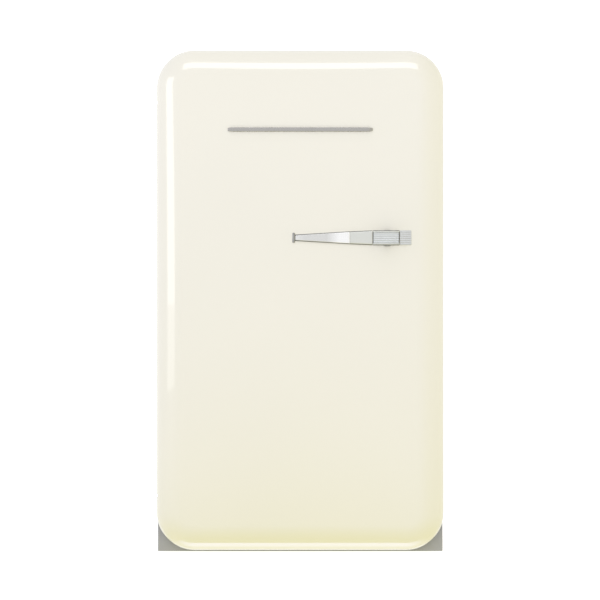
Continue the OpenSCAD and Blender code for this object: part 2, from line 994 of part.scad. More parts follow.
module handle_blade() {
    color("#e6e7e9")
    translate([0, front_y + 12, handle_z])
    rotate([90, 0, 0])
    linear_extrude(10)
    polygon([[blade_x, -6], [collar_x, -12], [collar_x, 12], [blade_x, 6]]);
}

module handle_tip() {
    color("#a7a9ab")
    box(tip_x, blade_x, front_y + 1, front_y + 13, handle_z - 9.5, handle_z + 9.5);
}

module handle_screws() {
    color("#8f9194")
    for (dz = screw_dz) {
        z = handle_z + dz;
        head_y = face_y(screw_x, z) + pan_t + 0.9;
        rod([screw_x, handle_back_y + 4, z], [screw_x, head_y, z], screw_r);
        rod([screw_x, head_y, z], [screw_x, head_y + 3, z], 4.5);
    }
}

module badge_bar() {
    color("#a9aaa9")
    on_face([for (i = [-8:8]) 17 * i], [base_z + 797 - 4, base_z + 797, base_z + 797 + 4], 3.5, 0);
}

// ---- Bins in the door ----

module bin(z0, z1) {
    difference() {
        translate([0, 0, z0])
        linear_extrude(z1 - z0)
        polygon(outline(-bin_hw, bin_hw, bin_y[0], bin_y[1], 20, 0, 6));
        translate([0, 0, z0 + bin_wall])
        linear_extrude(z1 - z0)
        polygon(outline(
            -bin_hw + bin_wall, bin_hw - bin_wall, bin_y[0] + bin_wall, bin_y[1] - bin_wall,
            20 - bin_wall, 0, 6
        ));
    }
    both_sides()
    box(bin_hw, dyke_hw[0] - 0.4, door_y + 20, door_y + 44, z1 - 20, z1 - 4);
}

module dairy_bin() {
    color("#dcebee") {
        bin(dairy_z[0], dairy_z[1]);
        both_sides()
        difference() {
            box(bin_hw - 5, bin_hw, bin_y[0], bin_y[0] + 8, dairy_z[1], dairy_z[1] + 8);
            rod([bin_hw - 20, lid_pivot[0], lid_pivot[1]], [bin_hw + 20, lid_pivot[0], lid_pivot[1]], 2.05);
        }
    }
}

module door_bins() {
    color("#dcebee")
    for (z = rack_z)
        bin(z[0], z[1]);
}

module dairy_lid() {
    reach = bin_hw - 5.5;
    color("#c7dde2") {
        box(-reach, reach, lid_pivot[0], bin_y[1] + 3, dairy_z[1] + 1, dairy_z[1] + 3.5);
        box(-reach + 20, reach - 20, bin_y[1] + 1, bin_y[1] + 3, dairy_z[1] - 8, dairy_z[1] + 3.5);
        rod([-reach, lid_pivot[0], lid_pivot[1]], [reach, lid_pivot[0], lid_pivot[1]], 3);
        rod([-bin_hw + 0.5, lid_pivot[0], lid_pivot[1]], [bin_hw - 0.5, lid_pivot[0], lid_pivot[1]], 2);
    }
}

module bottle_retainer() {
    wall = bin_y[1];
    top = rack_z[1][1];
    color("#c7dde2") {
        difference() {
            box(52, 68, wall - 5, wall + 2.5, top - 9, top + 3);
            box(51, 69, wall - bin_wall - 0.3, wall + 0.3, top - 10, top + 0.3);
        }
        box(59, 61, wall - 70, wall - 4, top - 50, top + 3);
    }
}

outer_wrap();
rear_panel();
front_frame();
foam_core();
inner_liner();
bay_shield();
base_tray();
front_plinth();
left_foot();
right_foot();
rear_feet();
upper_hinge_bracket();
lower_hinge_bracket();
hinge_pins();
hinge_screws();
compressor();
compressor_rail();
compressor_grommets();
compressor_bolts();
relay_box();
condenser_coil();
condenser_wires();
condenser_clips();
wall_spacers();
filter_dryer();
refrigerant_lines();
drain_tray();
cord_inlet();
icebox();
icebox_frame();
icebox_hangers();
icebox_flap();
thermostat_housing();
thermostat_knob();
lamp_board();
lamp_lens();
upper_shelf_glass();
upper_shelf_trim();
lower_shelf_glass();
lower_shelf_trim();
crisper_cover();
crisper_cover_trim();
crisper_drawer();
door_skin();
door_foam();
door_liner();
door_gasket();
hinge_bushes();
handle_foot();
handle_body();
handle_end_cap();
handle_collar();
handle_blade();
handle_tip();
handle_screws();
badge_bar();
dairy_bin();
door_bins();
dairy_lid();
bottle_retainer();
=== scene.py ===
import json
import math

import bmesh
import bpy
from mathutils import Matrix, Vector

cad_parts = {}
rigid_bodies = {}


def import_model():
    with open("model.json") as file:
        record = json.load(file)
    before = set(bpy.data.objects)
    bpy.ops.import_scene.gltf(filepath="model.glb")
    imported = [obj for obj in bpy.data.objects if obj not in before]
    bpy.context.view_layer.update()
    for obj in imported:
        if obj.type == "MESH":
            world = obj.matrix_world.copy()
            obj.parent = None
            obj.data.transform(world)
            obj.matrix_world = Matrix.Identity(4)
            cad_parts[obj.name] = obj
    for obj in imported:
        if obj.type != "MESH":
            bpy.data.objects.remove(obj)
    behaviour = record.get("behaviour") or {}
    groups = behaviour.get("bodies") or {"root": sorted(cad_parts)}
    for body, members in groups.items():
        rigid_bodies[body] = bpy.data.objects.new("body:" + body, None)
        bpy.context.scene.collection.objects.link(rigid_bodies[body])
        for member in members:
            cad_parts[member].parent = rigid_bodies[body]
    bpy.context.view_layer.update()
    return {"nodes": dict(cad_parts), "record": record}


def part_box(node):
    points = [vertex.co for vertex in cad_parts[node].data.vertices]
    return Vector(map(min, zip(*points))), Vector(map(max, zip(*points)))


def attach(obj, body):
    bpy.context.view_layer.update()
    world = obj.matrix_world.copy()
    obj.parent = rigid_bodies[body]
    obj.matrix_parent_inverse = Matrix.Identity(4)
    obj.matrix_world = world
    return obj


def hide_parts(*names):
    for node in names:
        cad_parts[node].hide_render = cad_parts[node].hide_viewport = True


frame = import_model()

# Looks of the mini fridge: enamel, chrome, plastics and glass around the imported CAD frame.

# ---- Driving dimensions, beside those read from the frame ----

MM = 0.001
ACROSS = (1, 0, 0)
UPRIGHT = (0, 0, 1)
DOOR_LO, DOOR_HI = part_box("door_skin")
HALF_W = DOOR_HI.x
HALF_H = (DOOR_HI.z - DOOR_LO.z) / 2
MID_Z = (DOOR_HI.z + DOOR_LO.z) / 2
DOOR_Y = DOOR_HI.y
# The door's corner radius, the width and depth of its rounded edge, its face's rise and its sheet
CORNER_R = 72 * MM
EDGE_W = 50 * MM
EDGE_D = 45 * MM
CROWN = 20 * MM
SHEET_T = 1 * MM
# Where the door's straight sides end and its rounded edge starts
SIDE_Y = DOOR_LO.y + EDGE_D + CROWN
HINGE_BRACKETS = ("upper_hinge_bracket", "lower_hinge_bracket")


# ---- Mesh helpers ----

def link(mesh, body, slot, replaces=(), look=None):
    """Makes a piece that rides on a body and may stand for CAD nodes.

    It has the mesh's name, and the material of its slot unless look names another one.
    """
    obj = bpy.data.objects.new(mesh.name, mesh)
    bpy.context.scene.collection.objects.link(obj)
    for poly in mesh.polygons:
        poly.use_smooth = True
    mesh.set_sharp_from_angle(angle=math.radians(38))
    mesh.materials.append(MATERIALS[look or slot])
    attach(obj, body)
    if replaces:
        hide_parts(*replaces)
    return obj


def mesh_from(name, verts, faces):
    """A mesh whose faces all look outwards."""
    mesh = bpy.data.meshes.new(name)
    mesh.from_pydata([tuple(v) for v in verts], [], faces)
    mesh.validate()
    bm = bmesh.new()
    bm.from_mesh(mesh)
    bmesh.ops.recalc_face_normals(bm, faces=bm.faces)
    bm.to_mesh(mesh)
    bm.free()
    return mesh


def bands(number, count, per):
    """Faces of a number of bands, each between two neighbours of count loops with per points."""
    faces = []
    for i in range(number):
        a, b = i * per, (i + 1) % count * per
        faces += [(a + k, a + (k + 1) % per, b + (k + 1) % per, b + k) for k in range(per)]
    return faces


def loft(name, sections, closed=False):
    """Skins a row of equally long loops of points, and caps both ends unless the row closes on itself."""
    per, count = len(sections[0]), len(sections)
    verts = [p for section in sections for p in section]
    faces = bands(count if closed else count - 1, count, per)
    if not closed:
        faces.append(tuple(range(per)))
        faces.append(tuple((count - 1) * per + k for k in range(per)))
    return mesh_from(name, verts, faces)


def bevelled(obj, width):
    """Rounds the sharp edges of a shown CAD node, with modifiers only."""
    weld = obj.modifiers.new("weld", "WELD")
    weld.merge_threshold = 1e-5
    bevel = obj.modifiers.new("bevel", "BEVEL")
    bevel.width = width
    bevel.segments = 3
    bevel.limit_method = "ANGLE"
    bevel.angle_limit = math.radians(40)
    bevel.use_clamp_overlap = True
    normals = obj.modifiers.new("normals", "WEIGHTED_NORMAL")
    normals.weight = 80


def arc(cx, cz, start, r, n):
    """Points on a quarter circle, the first and the last included."""
    return [
        (cx + r * math.cos(angle), cz + r * math.sin(angle))
        for angle in (math.radians(start + 90 * i / n) for i in range(n + 1))
    ]


def quarter_turn(steps):
    """Angles from 0 to a right angle, both included."""
    return [math.pi / 2 * i / steps for i in range(steps + 1)]


def rounded_rect(x0, x1, z0, z1, r, n=8, nx=1, nz=1, r_low=None):
    """Rounded rectangle, anticlockwise from its right side.

    nx and nz split its straight sides, and its lower corners may have a radius of their own.
    """
    low = r if r_low is None else r_low
    arcs = [
        arc(x1 - r, z1 - r, 0, r, n),
        arc(x0 + r, z1 - r, 90, r, n),
        arc(x0 + low, z0 + low, 180, low, n),
        arc(x1 - low, z0 + low, 270, low, n),
    ]
    points = []
    for corner, steps in enumerate((nx, nz, nx, nz)):
        ax, az = arcs[corner][-1]
        bx, bz = arcs[(corner + 1) % 4][0]
        points += arcs[corner]
        points += [(ax + (bx - ax) * i / steps, az + (bz - az) * i / steps) for i in range(1, steps)]
    return points


def at_y(points, y):
    """An outline of (x, z) points, at a depth y."""
    return [(x, y, z) for x, z in points]


def bar_along(name, a, b, half_1, half_2, axis_1, r):
    """Straight bar from point a to point b, with a rounded section and soft ends.

    half_1 is half its size along axis_1, and half_2 half its size across that.
    """
    a, b, axis_1 = Vector(a), Vector(b), Vector(axis_1)
    along = (b - a).normalized()
    axis_2 = along.cross(axis_1)
    soft = min(r, (b - a).length / 3)
    steps = [(a, soft), (a + along * soft * 0.3, soft * 0.3), (a + along * soft, 0)]
    steps += [(b - along * soft, 0), (b - along * soft * 0.3, soft * 0.3), (b, soft)]
    sections = []
    for centre, inset in steps:
        u, v = half_1 - inset * 0.7, half_2 - inset * 0.7
        points = rounded_rect(-u, u, -v, v, min(r, u * 0.98, v * 0.98), 5)
        sections.append([centre + axis_1 * p + axis_2 * q for p, q in points])
    return loft(name, sections)


def joined(name, meshes):
    """One mesh from several."""
    bm = bmesh.new()
    for mesh in meshes:
        bm.from_mesh(mesh)
    out = bpy.data.meshes.new(name)
    bm.to_mesh(out)
    bm.free()
    for mesh in meshes:
        bpy.data.meshes.remove(mesh)
    return out


def lathe(name, profile, centre, axis, segments, teeth=0, tooth=0.0):
    """Turns a profile of (radius, height) about an axis; teeth cut a knurl into its largest radius."""
    centre, axis = Vector(centre), Vector(axis).normalized()
    side = Vector(UPRIGHT if abs(axis.z) < 0.9 else ACROSS)
    u = axis.cross(side).normalized()
    v = axis.cross(u)
    widest = max(r for r, _ in profile)
    sections = []
    for r, h in profile:
        ring = []
        for k in range(segments):
            a = 2 * math.pi * k / segments
            cut = tooth * (0.5 + 0.5 * math.cos(teeth * a)) if r > widest * 0.97 else 0
            reach = max(r, 0.02 * MM) - cut
            ring.append(centre + axis * h + u * reach * math.cos(a) + v * reach * math.sin(a))
        sections.append(ring)
    return loft(name, sections)


def apply_modifiers(obj):
    """Makes what the modifiers do part of the mesh."""
    dg = bpy.context.evaluated_depsgraph_get()
    mesh = bpy.data.meshes.new_from_object(obj.evaluated_get(dg))
    obj.modifiers.clear()
    old = obj.data
    obj.data = mesh
    bpy.data.meshes.remove(old)


# ---- Materials ----

class Shader:
    """One procedural material: a Principled shader fed by textures in the piece's own coordinates."""

    def __init__(self, name, **constants):
        self.mat = bpy.data.materials.new(name)
        self.mat.use_nodes = True
        self.nodes = self.mat.node_tree.nodes
        self.links = self.mat.node_tree.links
        self.bsdf = self.nodes["Principled BSDF"]
        for socket, value in constants.items():
            self.bsdf.inputs[socket.replace("_", " ")].default_value = value
        self.coords = self.nodes.new("ShaderNodeTexCoord").outputs["Object"]

    def mapped(self, scale):
        """The piece's own coordinates, times a scale along each axis."""
        node = self.nodes.new("ShaderNodeMapping")
        node.inputs["Scale"].default_value = scale
        self.links.new(self.coords, node.inputs["Vector"])
        return node.outputs["Vector"]

    def noise(self, scale, detail, stretch=(1, 1, 1)):
        node = self.nodes.new("ShaderNodeTexNoise")
        node.inputs["Scale"].default_value = scale
        node.inputs["Detail"].default_value = detail
        self.links.new(self.mapped(stretch), node.inputs["Vector"])
        return node.outputs["Fac"]

    def voronoi(self, scale):
        node = self.nodes.new("ShaderNodeTexVoronoi")
        node.inputs["Scale"].default_value = scale
        self.links.new(self.coords, node.inputs["Vector"])
        return node

    def wave(self, scale, axis):
        node = self.nodes.new("ShaderNodeTexWave")
        node.bands_direction = axis
        node.inputs["Scale"].default_value = scale
        self.links.new(self.coords, node.inputs["Vector"])
        return node.outputs["Fac"]

    def ranged(self, value, low, high, start=0.3, end=0.7):
        """Turns a value between start and end into one between low and high."""
        node = self.nodes.new("ShaderNodeMapRange")
        node.inputs["From Min"].default_value = start
        node.inputs["From Max"].default_value = end
        node.inputs["To Min"].default_value = low
        node.inputs["To Max"].default_value = high
        self.links.new(value, node.inputs["Value"])
        return node.outputs["Result"]

    def colours(self, value, stops):
        """Turns a value into a colour; each stop is (place, colour)."""
        node = self.nodes.new("ShaderNodeValToRGB")
        ramp = node.color_ramp
        while len(ramp.elements) < len(stops):
            ramp.elements.new(0.5)
        for element, (place, colour) in zip(ramp.elements, stops):
            element.position = place
            element.color = (*colour, 1)
        self.links.new(value, node.inputs["Fac"])
        return node.outputs["Color"]

    def feed(self, socket, value):
        self.links.new(value, self.bsdf.inputs[socket])

    def mixed(self, factor, first, second):
        mix = self.nodes.new("ShaderNodeMixShader")
        for socket, source in zip(mix.inputs, (factor, first, second)):
            self.links.new(source, socket)
        return mix.outputs["Shader"]

    def show(self, shader):
        self.links.new(shader, self.nodes["Material Output"].inputs["Surface"])
        return self.mat

    def light_through(self):
        """Lets light pass straight through, so that clear walls throw no black shadow."""
        lamp_ray = self.nodes.new("ShaderNodeLightPath").outputs["Is Shadow Ray"]
        clear = self.nodes.new("ShaderNodeBsdfTransparent")
        clear.inputs["Color"].default_value = (0.96, 0.98, 0.98, 1)
        return self.show(self.mixed(lamp_ray, self.bsdf.outputs["BSDF"], clear.outputs["BSDF"]))

    def studio_table(self, near, reach, strength):
        """Bounces an even light that is warmer near the origin, and can't be seen from behind."""
        flat = self.mapped((1, 1, 0))
        length = self.nodes.new("ShaderNodeVectorMath")
        length.operation = "LENGTH"
        self.links.new(flat, length.inputs[0])
        bounce = self.nodes.new("ShaderNodeEmission")
        bounce.inputs["Strength"].default_value = strength
        share = self.ranged(length.outputs["Value"], 0, 1, *reach)
        self.links.new(self.colours(share, [(0.0, near), (1.0, (1, 1, 1))]), bounce.inputs["Color"])
        matt_ray = self.nodes.new("ShaderNodeLightPath").outputs["Is Diffuse Ray"]
        front = self.mixed(matt_ray, self.bsdf.outputs["BSDF"], bounce.outputs["Emission"])
        clear = self.nodes.new("ShaderNodeBsdfTransparent")
        back = self.nodes.new("ShaderNodeNewGeometry").outputs["Backfacing"]
        return self.show(self.mixed(back, front, clear.outputs["BSDF"]))

    def bump(self, *layers):
        """Each layer is (height, strength, depth in metres)."""
        previous = None
        for height, strength, depth in layers:
            node = self.nodes.new("ShaderNodeBump")
            node.inputs["Strength"].default_value = strength
            node.inputs["Distance"].default_value = depth
            self.links.new(height, node.inputs["Height"])
            if previous:
                self.links.new(previous, node.inputs["Normal"])
            previous = node.outputs["Normal"]
        self.links.new(previous, self.bsdf.inputs["Normal"])


def shade(colour, factor):
    """A colour times a factor, none of its parts above 1."""
    return tuple(min(1.0, c * factor) for c in colour)


def around(colour, spread):
    """Colour stops a little darker and lighter than a colour."""
    return [(0.3, shade(colour, 1 - spread)), (0.7, shade(colour, 1 + spread))]


CREAM = (0.812, 0.786, 0.715)
# Noise stretched into streaks along X
BRUSHED = (0.2, 6, 6)
ROLLED = (1, 12, 12)


def cream_enamel():
    """Glossy cream enamel under a clear coat, almost even in colour."""
    s = Shader("cream_enamel", Coat_Weight=1.0, Coat_Roughness=0.035, Coat_IOR=1.9)
    s.feed("Base Color", s.colours(s.noise(2.2, 2), around(CREAM, 0.012)))
    s.feed("Roughness", s.ranged(s.noise(9, 4), 0.30, 0.38))
    s.bump((s.noise(330, 2), 0.05, 0.0004), (s.noise(38, 2), 0.03, 0.0008))
    return s.mat


def chrome(name, colour, low, high, streaks=(1, 1, 1), depth=0.00002, metallic=1.0):
    """Bare or plated metal, its roughness between low and high."""
    s = Shader(name, Metallic=metallic)
    s.feed("Base Color", s.colours(s.noise(30, 3), around(colour, 0.02)))
    s.feed("Roughness", s.ranged(s.noise(220, 4, streaks), low, high))
    s.bump((s.noise(900, 3, streaks), 0.10, depth))
    return s.mat


def blade_painted_reflection():
    """Chrome whose colour carries a painted reflection: a little lighter at the tip, dim along the middle
    and bright towards the handle's fixed end.
    """
    s = Shader("handle_chrome", Metallic=1.0)
    parts = s.nodes.new("ShaderNodeSeparateXYZ")
    s.links.new(s.coords, parts.inputs[0])
    lo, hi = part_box("handle_blade")
    along = s.ranged(parts.outputs["X"], 0, 1, lo.x, hi.x)
    # Painted reflection: these colours along the blade stand in for the light it mirrors, not for a change
    # in its finish.
    tip_reflection, dim_reflection, bright = (0.74, 0.74, 0.73), (0.66, 0.66, 0.65), (0.88, 0.88, 0.88)
    stops = [(0.0, tip_reflection), (0.18, dim_reflection), (0.58, dim_reflection), (0.80, bright)]
    s.feed("Base Color", s.colours(along, stops))
    s.feed("Roughness", s.ranged(s.noise(220, 4, BRUSHED), 0.16, 0.24))
    s.bump((s.noise(900, 3, BRUSHED), 0.10, 0.00002))
    return s.mat


def plastic(name, colour, low=0.35, high=0.5, grain=900, grain_depth=0.0001, spread=0.02, **more):
    """Moulded plastic or rubber with a fine grain, its roughness between low and high."""
    s = Shader(name, **more)
    s.feed("Base Color", s.colours(s.noise(14, 3), around(colour, spread)))
    s.feed("Roughness", s.ranged(s.noise(20, 2), low, high))
    pits = s.voronoi(grain).outputs["Distance"]
    s.bump((pits, 0.15, grain_depth), (s.noise(12, 1), 0.02, 0.0006))
    return s.mat


def sheet_steel(name, colour=(0.50, 0.51, 0.52)):
    """Zinc-coated steel with its crystals."""
    s = Shader(name, Metallic=0.9)
    crystals = s.voronoi(70).outputs["Color"]
    s.feed("Base Color", s.colours(crystals, [(0.2, shade(colour, 0.86)), (0.8, shade(colour, 1.1))]))
    s.feed("Roughness", s.ranged(s.noise(45, 5), 0.32, 0.5))
    s.bump((s.noise(260, 3), 0.08, 0.0002))
    return s.mat


def dark_paint():
    """Black stove enamel."""
    s = Shader("black_enamel", Coat_Weight=0.3, Coat_Roughness=0.2)
    stops = [(0.3, (0.010, 0.010, 0.011)), (0.75, (0.030, 0.030, 0.032))]
    s.feed("Base Color", s.colours(s.noise(40, 4), stops))
    s.feed("Roughness", s.ranged(s.noise(110, 5), 0.28, 0.48))
    s.bump((s.noise(420, 3), 0.2, 0.0003))
    return s.mat


def copper():
    """Drawn copper, partly tarnished."""
    s = Shader("drawn_copper", Metallic=1.0)
    stops = [(0.25, (0.30, 0.13, 0.07)), (0.5, (0.72, 0.38, 0.24)), (0.8, (0.86, 0.50, 0.34))]
    s.feed("Base Color", s.colours(s.noise(35, 5), stops))
    s.feed("Roughness", s.ranged(s.noise(90, 4), 0.22, 0.42))
    s.bump((s.noise(500, 2), 0.1, 0.0002))
    return s.mat


def clear(name, colour, roughness, ior, scratch=0.05):
    """Clear plastic or glass."""
    s = Shader(name, Transmission_Weight=1.0, IOR=ior)
    s.feed("Base Color", s.colours(s.noise(6, 2), around(colour, 0.01)))
    s.feed("Roughness", s.ranged(s.noise(30, 4), roughness, roughness + 0.03))
    s.bump((s.noise(45, 2), scratch, 0.0004))
    return s.light_through()


def foam():
    """Yellow insulating foam with pores."""
    s = Shader("rigid_foam", Subsurface_Weight=0.1)
    s.feed("Base Color", s.colours(s.noise(120, 5), [(0.3, (0.70, 0.55, 0.26)), (0.7, (0.88, 0.76, 0.46))]))
    s.feed("Roughness", s.ranged(s.noise(60, 3), 0.8, 0.95))
    s.bump((s.voronoi(420).outputs["Distance"], 0.6, 0.0006))
    return s.mat


def circuit_board():
    """Green board with darker tracks."""
    s = Shader("circuit_board")
    tracks = s.voronoi(260).outputs["Distance"]
    s.feed("Base Color", s.colours(tracks, [(0.2, (0.02, 0.11, 0.05)), (0.6, (0.04, 0.24, 0.10))]))
    s.feed("Roughness", s.ranged(s.noise(60, 3), 0.3, 0.5))
    s.bump((tracks, 0.2, 0.0003))
    return s.mat


def frosted():
    """Ribbed lamp lens, faintly lit from inside."""
    s = Shader("frosted_lens", Transmission_Weight=0.6, IOR=1.49,
               Emission_Color=(1, 0.96, 0.88, 1), Emission_Strength=0.3)
    s.feed("Base Color", s.colours(s.noise(20, 2), around((0.93, 0.93, 0.90), 0.01)))
    s.feed("Roughness", s.ranged(s.noise(60, 3), 0.30, 0.40))
    s.bump((s.wave(60, "Z"), 0.5, 0.0006))
    return s.mat


MATERIALS = {
    "cream_paint": cream_enamel(),
    "galvanised_steel": sheet_steel("galvanised_sheet"),
    "foam": foam(),
    "white_liner": plastic("liner_plastic", (0.82, 0.835, 0.84), 0.36, 0.40, 2600, 0.00001, 0.004),
    "grey_plastic": plastic("base_plastic", (0.415, 0.42, 0.50), 0.42, 0.56, 800, 0.00015),
    "dark_plastic": plastic("dark_plastic", (0.030, 0.031, 0.033), 0.42, 0.58, 900, 0.00015, 0.12),
    "zinc_steel": sheet_steel("zinc_plating", (0.62, 0.62, 0.60)),
    "black_paint": dark_paint(),
    "black_rubber": plastic("black_rubber", (0.018, 0.018, 0.018), 0.65, 0.85, 700, 0.0002, 0.15),
    "relay_plastic": plastic("relay_plastic", (0.72, 0.69, 0.60), 0.38, 0.5),
    "copper": copper(),
    "clear_plastic": clear("clear_plastic", (0.965, 0.99, 0.992), 0.03, 1.49),
    "aluminium": chrome("evaporator_aluminium", (0.80, 0.81, 0.82), 0.26, 0.42, ROLLED, 0.0001, 0.5),
    "white_gloss": plastic("white_gloss", (0.84, 0.85, 0.85), 0.14, 0.22, 2600, 0.00001, 0.004,
                           Coat_Weight=0.4),
    "circuit_board": circuit_board(),
    "lens": frosted(),
    "shelf_glass": clear("shelf_glass", (0.93, 0.985, 0.97), 0.0, 1.52, 0.01),
    "shelf_trim": plastic("shelf_trim", (0.66, 0.68, 0.69), 0.2, 0.32, 700, 0.00006, 0.01),
    "gasket": plastic("gasket_vinyl", (0.55, 0.55, 0.53), 0.5, 0.62, 1200, 0.00008, 0.03),
    "handle_grey": chrome("handle_dark", (0.34, 0.34, 0.34), 0.25, 0.36),
    "handle_edge": chrome("handle_edge", (0.17, 0.17, 0.17), 0.25, 0.36),
    # The blade's chrome has a painted reflection in its colour.
    "handle_chrome": blade_painted_reflection(),
    "badge_chrome": chrome("badge_chrome", (0.42, 0.41, 0.40), 0.22, 0.32),
    "handle_satin": chrome("handle_satin", (0.68, 0.69, 0.67), 0.34, 0.42),
    "handle_reeds": chrome("handle_reeds", (0.66, 0.68, 0.70), 0.28, 0.34, depth=0.000005),
    "handle_cap": chrome("handle_cap", (0.60, 0.61, 0.62), 0.28, 0.36, depth=0.000005),
}
SLOT_OF = {row["node"]: row["material_slot"] for row in frame["record"]["subparts"]}


def dress_cad_nodes():
    """Gives every CAD node the material of its slot."""
    for name, obj in frame["nodes"].items():
        obj.data.materials.clear()
        obj.data.materials.append(MATERIALS[SLOT_OF[name]])


# Radius of each shown CAD node's edges, in millimetres
BEVELS = {
    "front_plinth": 1.6, "base_tray": 0.8, "rear_panel": 0.3,
    "bay_shield": 0.4, "upper_hinge_bracket": 0.5, "lower_hinge_bracket": 0.5,
    "compressor": 1.0, "compressor_rail": 0.8, "relay_box": 3.0, "drain_tray": 0.8,
    "wall_spacers": 2.0, "icebox": 0.8, "icebox_frame": 1.2, "icebox_flap": 1.0,
    "thermostat_housing": 3.0, "thermostat_knob": 0.7,
    "lamp_lens": 1.2, "upper_shelf_glass": 0.8, "lower_shelf_glass": 0.8, "crisper_cover": 0.8,
    "upper_shelf_trim": 1.5, "lower_shelf_trim": 1.5, "crisper_cover_trim": 1.5, "crisper_drawer": 1.0,
    "dairy_bin": 0.9, "door_bins": 0.9, "dairy_lid": 0.8, "bottle_retainer": 0.5,
    "condenser_clips": 0.8, "compressor_bolts": 0.6,
}


def bevel_cad_nodes():
    """Rounds the edges of the CAD nodes that stay in view."""
    for name, width in BEVELS.items():
        bevelled(frame["nodes"][name], width * MM)


# ---- The door's panel ----

def edge_rise(d):
    """Rise of the rounded edge at a distance d inside the outline."""
    return EDGE_D if d >= EDGE_W else EDGE_D * math.sqrt(1 - (1 - d / EDGE_W) ** 2)


def crown(x, z):
    """Share of the face's rise at a point: 1 in the middle and 0 along the sides."""
    return (1 - (x / HALF_W) ** 2) * (1 - ((z - MID_Z) / HALF_H) ** 2)


def face_y(x, z):
    """Y of the door's face away from its rounded edge."""
    return SIDE_Y - EDGE_D - CROWN * crown(x, z)


# Steps of the door's outline: round a corner, along its top and bottom, and along its sides
RING_STEPS = (16, 12, 24)


def door_ring(d, inward):
    """The door's outline at a distance d inside its edge, on the outer or inner face of its sheet."""
    w, h = HALF_W - inward - d, HALF_H - inward - d
    r = max(CORNER_R - inward - d, 4 * MM)
    points = rounded_rect(-w, w, MID_Z - h, MID_Z + h, r, *RING_STEPS)
    if d <= 0:
        return at_y(points, SIDE_Y)
    return [(x, SIDE_Y - edge_rise(d) - CROWN * crown(x, z) + inward, z) for x, z in points]


def door_shell(inward):
    """Rings from the door's back edge over its rounded edge to the middle of the face."""
    face_steps = 18
    middle = 12 * MM
    insets = [EDGE_W * (1 - math.cos(a)) for a in quarter_turn(22)]
    insets += [EDGE_W + (HALF_W - EDGE_W - middle) * i / face_steps for i in range(1, face_steps + 1)]
    rings = [door_ring(d, inward) for d in insets]
    back = [(x, DOOR_Y, z) for x, _, z in rings[0]]
    return [back] + rings


def door_panel():
    """The door's sheet: its outer and inner shells, joined along their back edge."""
    rings = door_shell(0)[::-1] + door_shell(SHEET_T)
    per, count = len(rings[0]), len(rings)
    verts = [p for ring in rings for p in ring]
    faces = bands(count - 1, count, per) + cap_of_rungs(0, per) + cap_of_rungs((count - 1) * per, per)
    panel = link(mesh_from("door_panel", verts, faces), "door", "cream_paint", ["door_skin"])
    cut_hinge_slots(panel)


def cap_of_rungs(first, per):
    """Faces across a ring that is symmetric about its vertical middle line: each joins mirrored points."""
    around_corner, along_top, _ = RING_STEPS
    top_mid = around_corner + along_top // 2
    order = [(top_mid + i) % per for i in range(per // 2 + 1)]
    mirror = [(top_mid - i) % per for i in range(per // 2 + 1)]
    faces = [(first + order[0], first + order[1], first + mirror[1])]
    for i in range(1, per // 2 - 1):
        faces.append((first + order[i], first + order[i + 1], first + mirror[i + 1], first + mirror[i]))
    faces.append((first + order[-2], first + order[-1], first + mirror[-2]))
    return faces


def cut_hinge_slots(panel):
    """Cuts the two slots through which the hinge arms reach their pins."""
    size = Vector((36 * MM, 48 * MM, 6 * MM))
    for node in HINGE_BRACKETS:
        arm_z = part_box(node)[0].z + 20 * MM
        centre = Vector((-HALF_W + 7.5 * MM, DOOR_Y - 11 * MM, arm_z + 1.5 * MM))
        mesh = bpy.data.meshes.new("slot_cutter")
        bm = bmesh.new()
        bmesh.ops.create_cube(bm, size=1)
        for v in bm.verts:
            v.co = Vector(a * b for a, b in zip(v.co, size)) + centre
        bm.to_mesh(mesh)
        bm.free()
        cutter = bpy.data.objects.new("slot_cutter", mesh)
        bpy.context.scene.collection.objects.link(cutter)
        boolean = panel.modifiers.new("slot", "BOOLEAN")
        boolean.operation = "DIFFERENCE"
        boolean.object = cutter
        boolean.solver = "EXACT"
        apply_modifiers(panel)
        bpy.data.objects.remove(cutter)


# ---- Cabinet ----

WRAP_LO, WRAP_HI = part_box("outer_wrap")
FRAME_LO, FRAME_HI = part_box("front_frame")
LINER_LO, LINER_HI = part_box("inner_liner")
CAB_Y = FRAME_LO.y
REAR_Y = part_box("rear_panel")[1].y
CAB_R = CORNER_R - MM
# Inner faces of the liner's walls, and the radius of their corners
WALL = 2 * MM
IN_W = LINER_HI.x - WALL
FLOOR_Z = LINER_LO.z + WALL
CEILING_Z = LINER_HI.z - WALL
BACK_Y = LINER_HI.y - WALL
TUB_R = 16 * MM
# Steps of the front frame's outlines: round a corner, along the top and bottom, and along the sides
FRAME_STEPS = (20, 8, 16)


def cabinet_outline(inset):
    """The front frame's outline at a distance inside its edge, nearly square at its lower corners."""
    w = WRAP_HI.x - inset
    return rounded_rect(-w, w, FRAME_LO.z + inset, FRAME_HI.z - inset, CAB_R - inset, *FRAME_STEPS, 2 * MM)


def mouth_outline(gap):
    """Outline round the tub's mouth, at a distance from its walls."""
    w = IN_W + gap
    return rounded_rect(-w, w, FLOOR_Z - gap, CEILING_Z + gap, TUB_R + gap, *FRAME_STEPS)


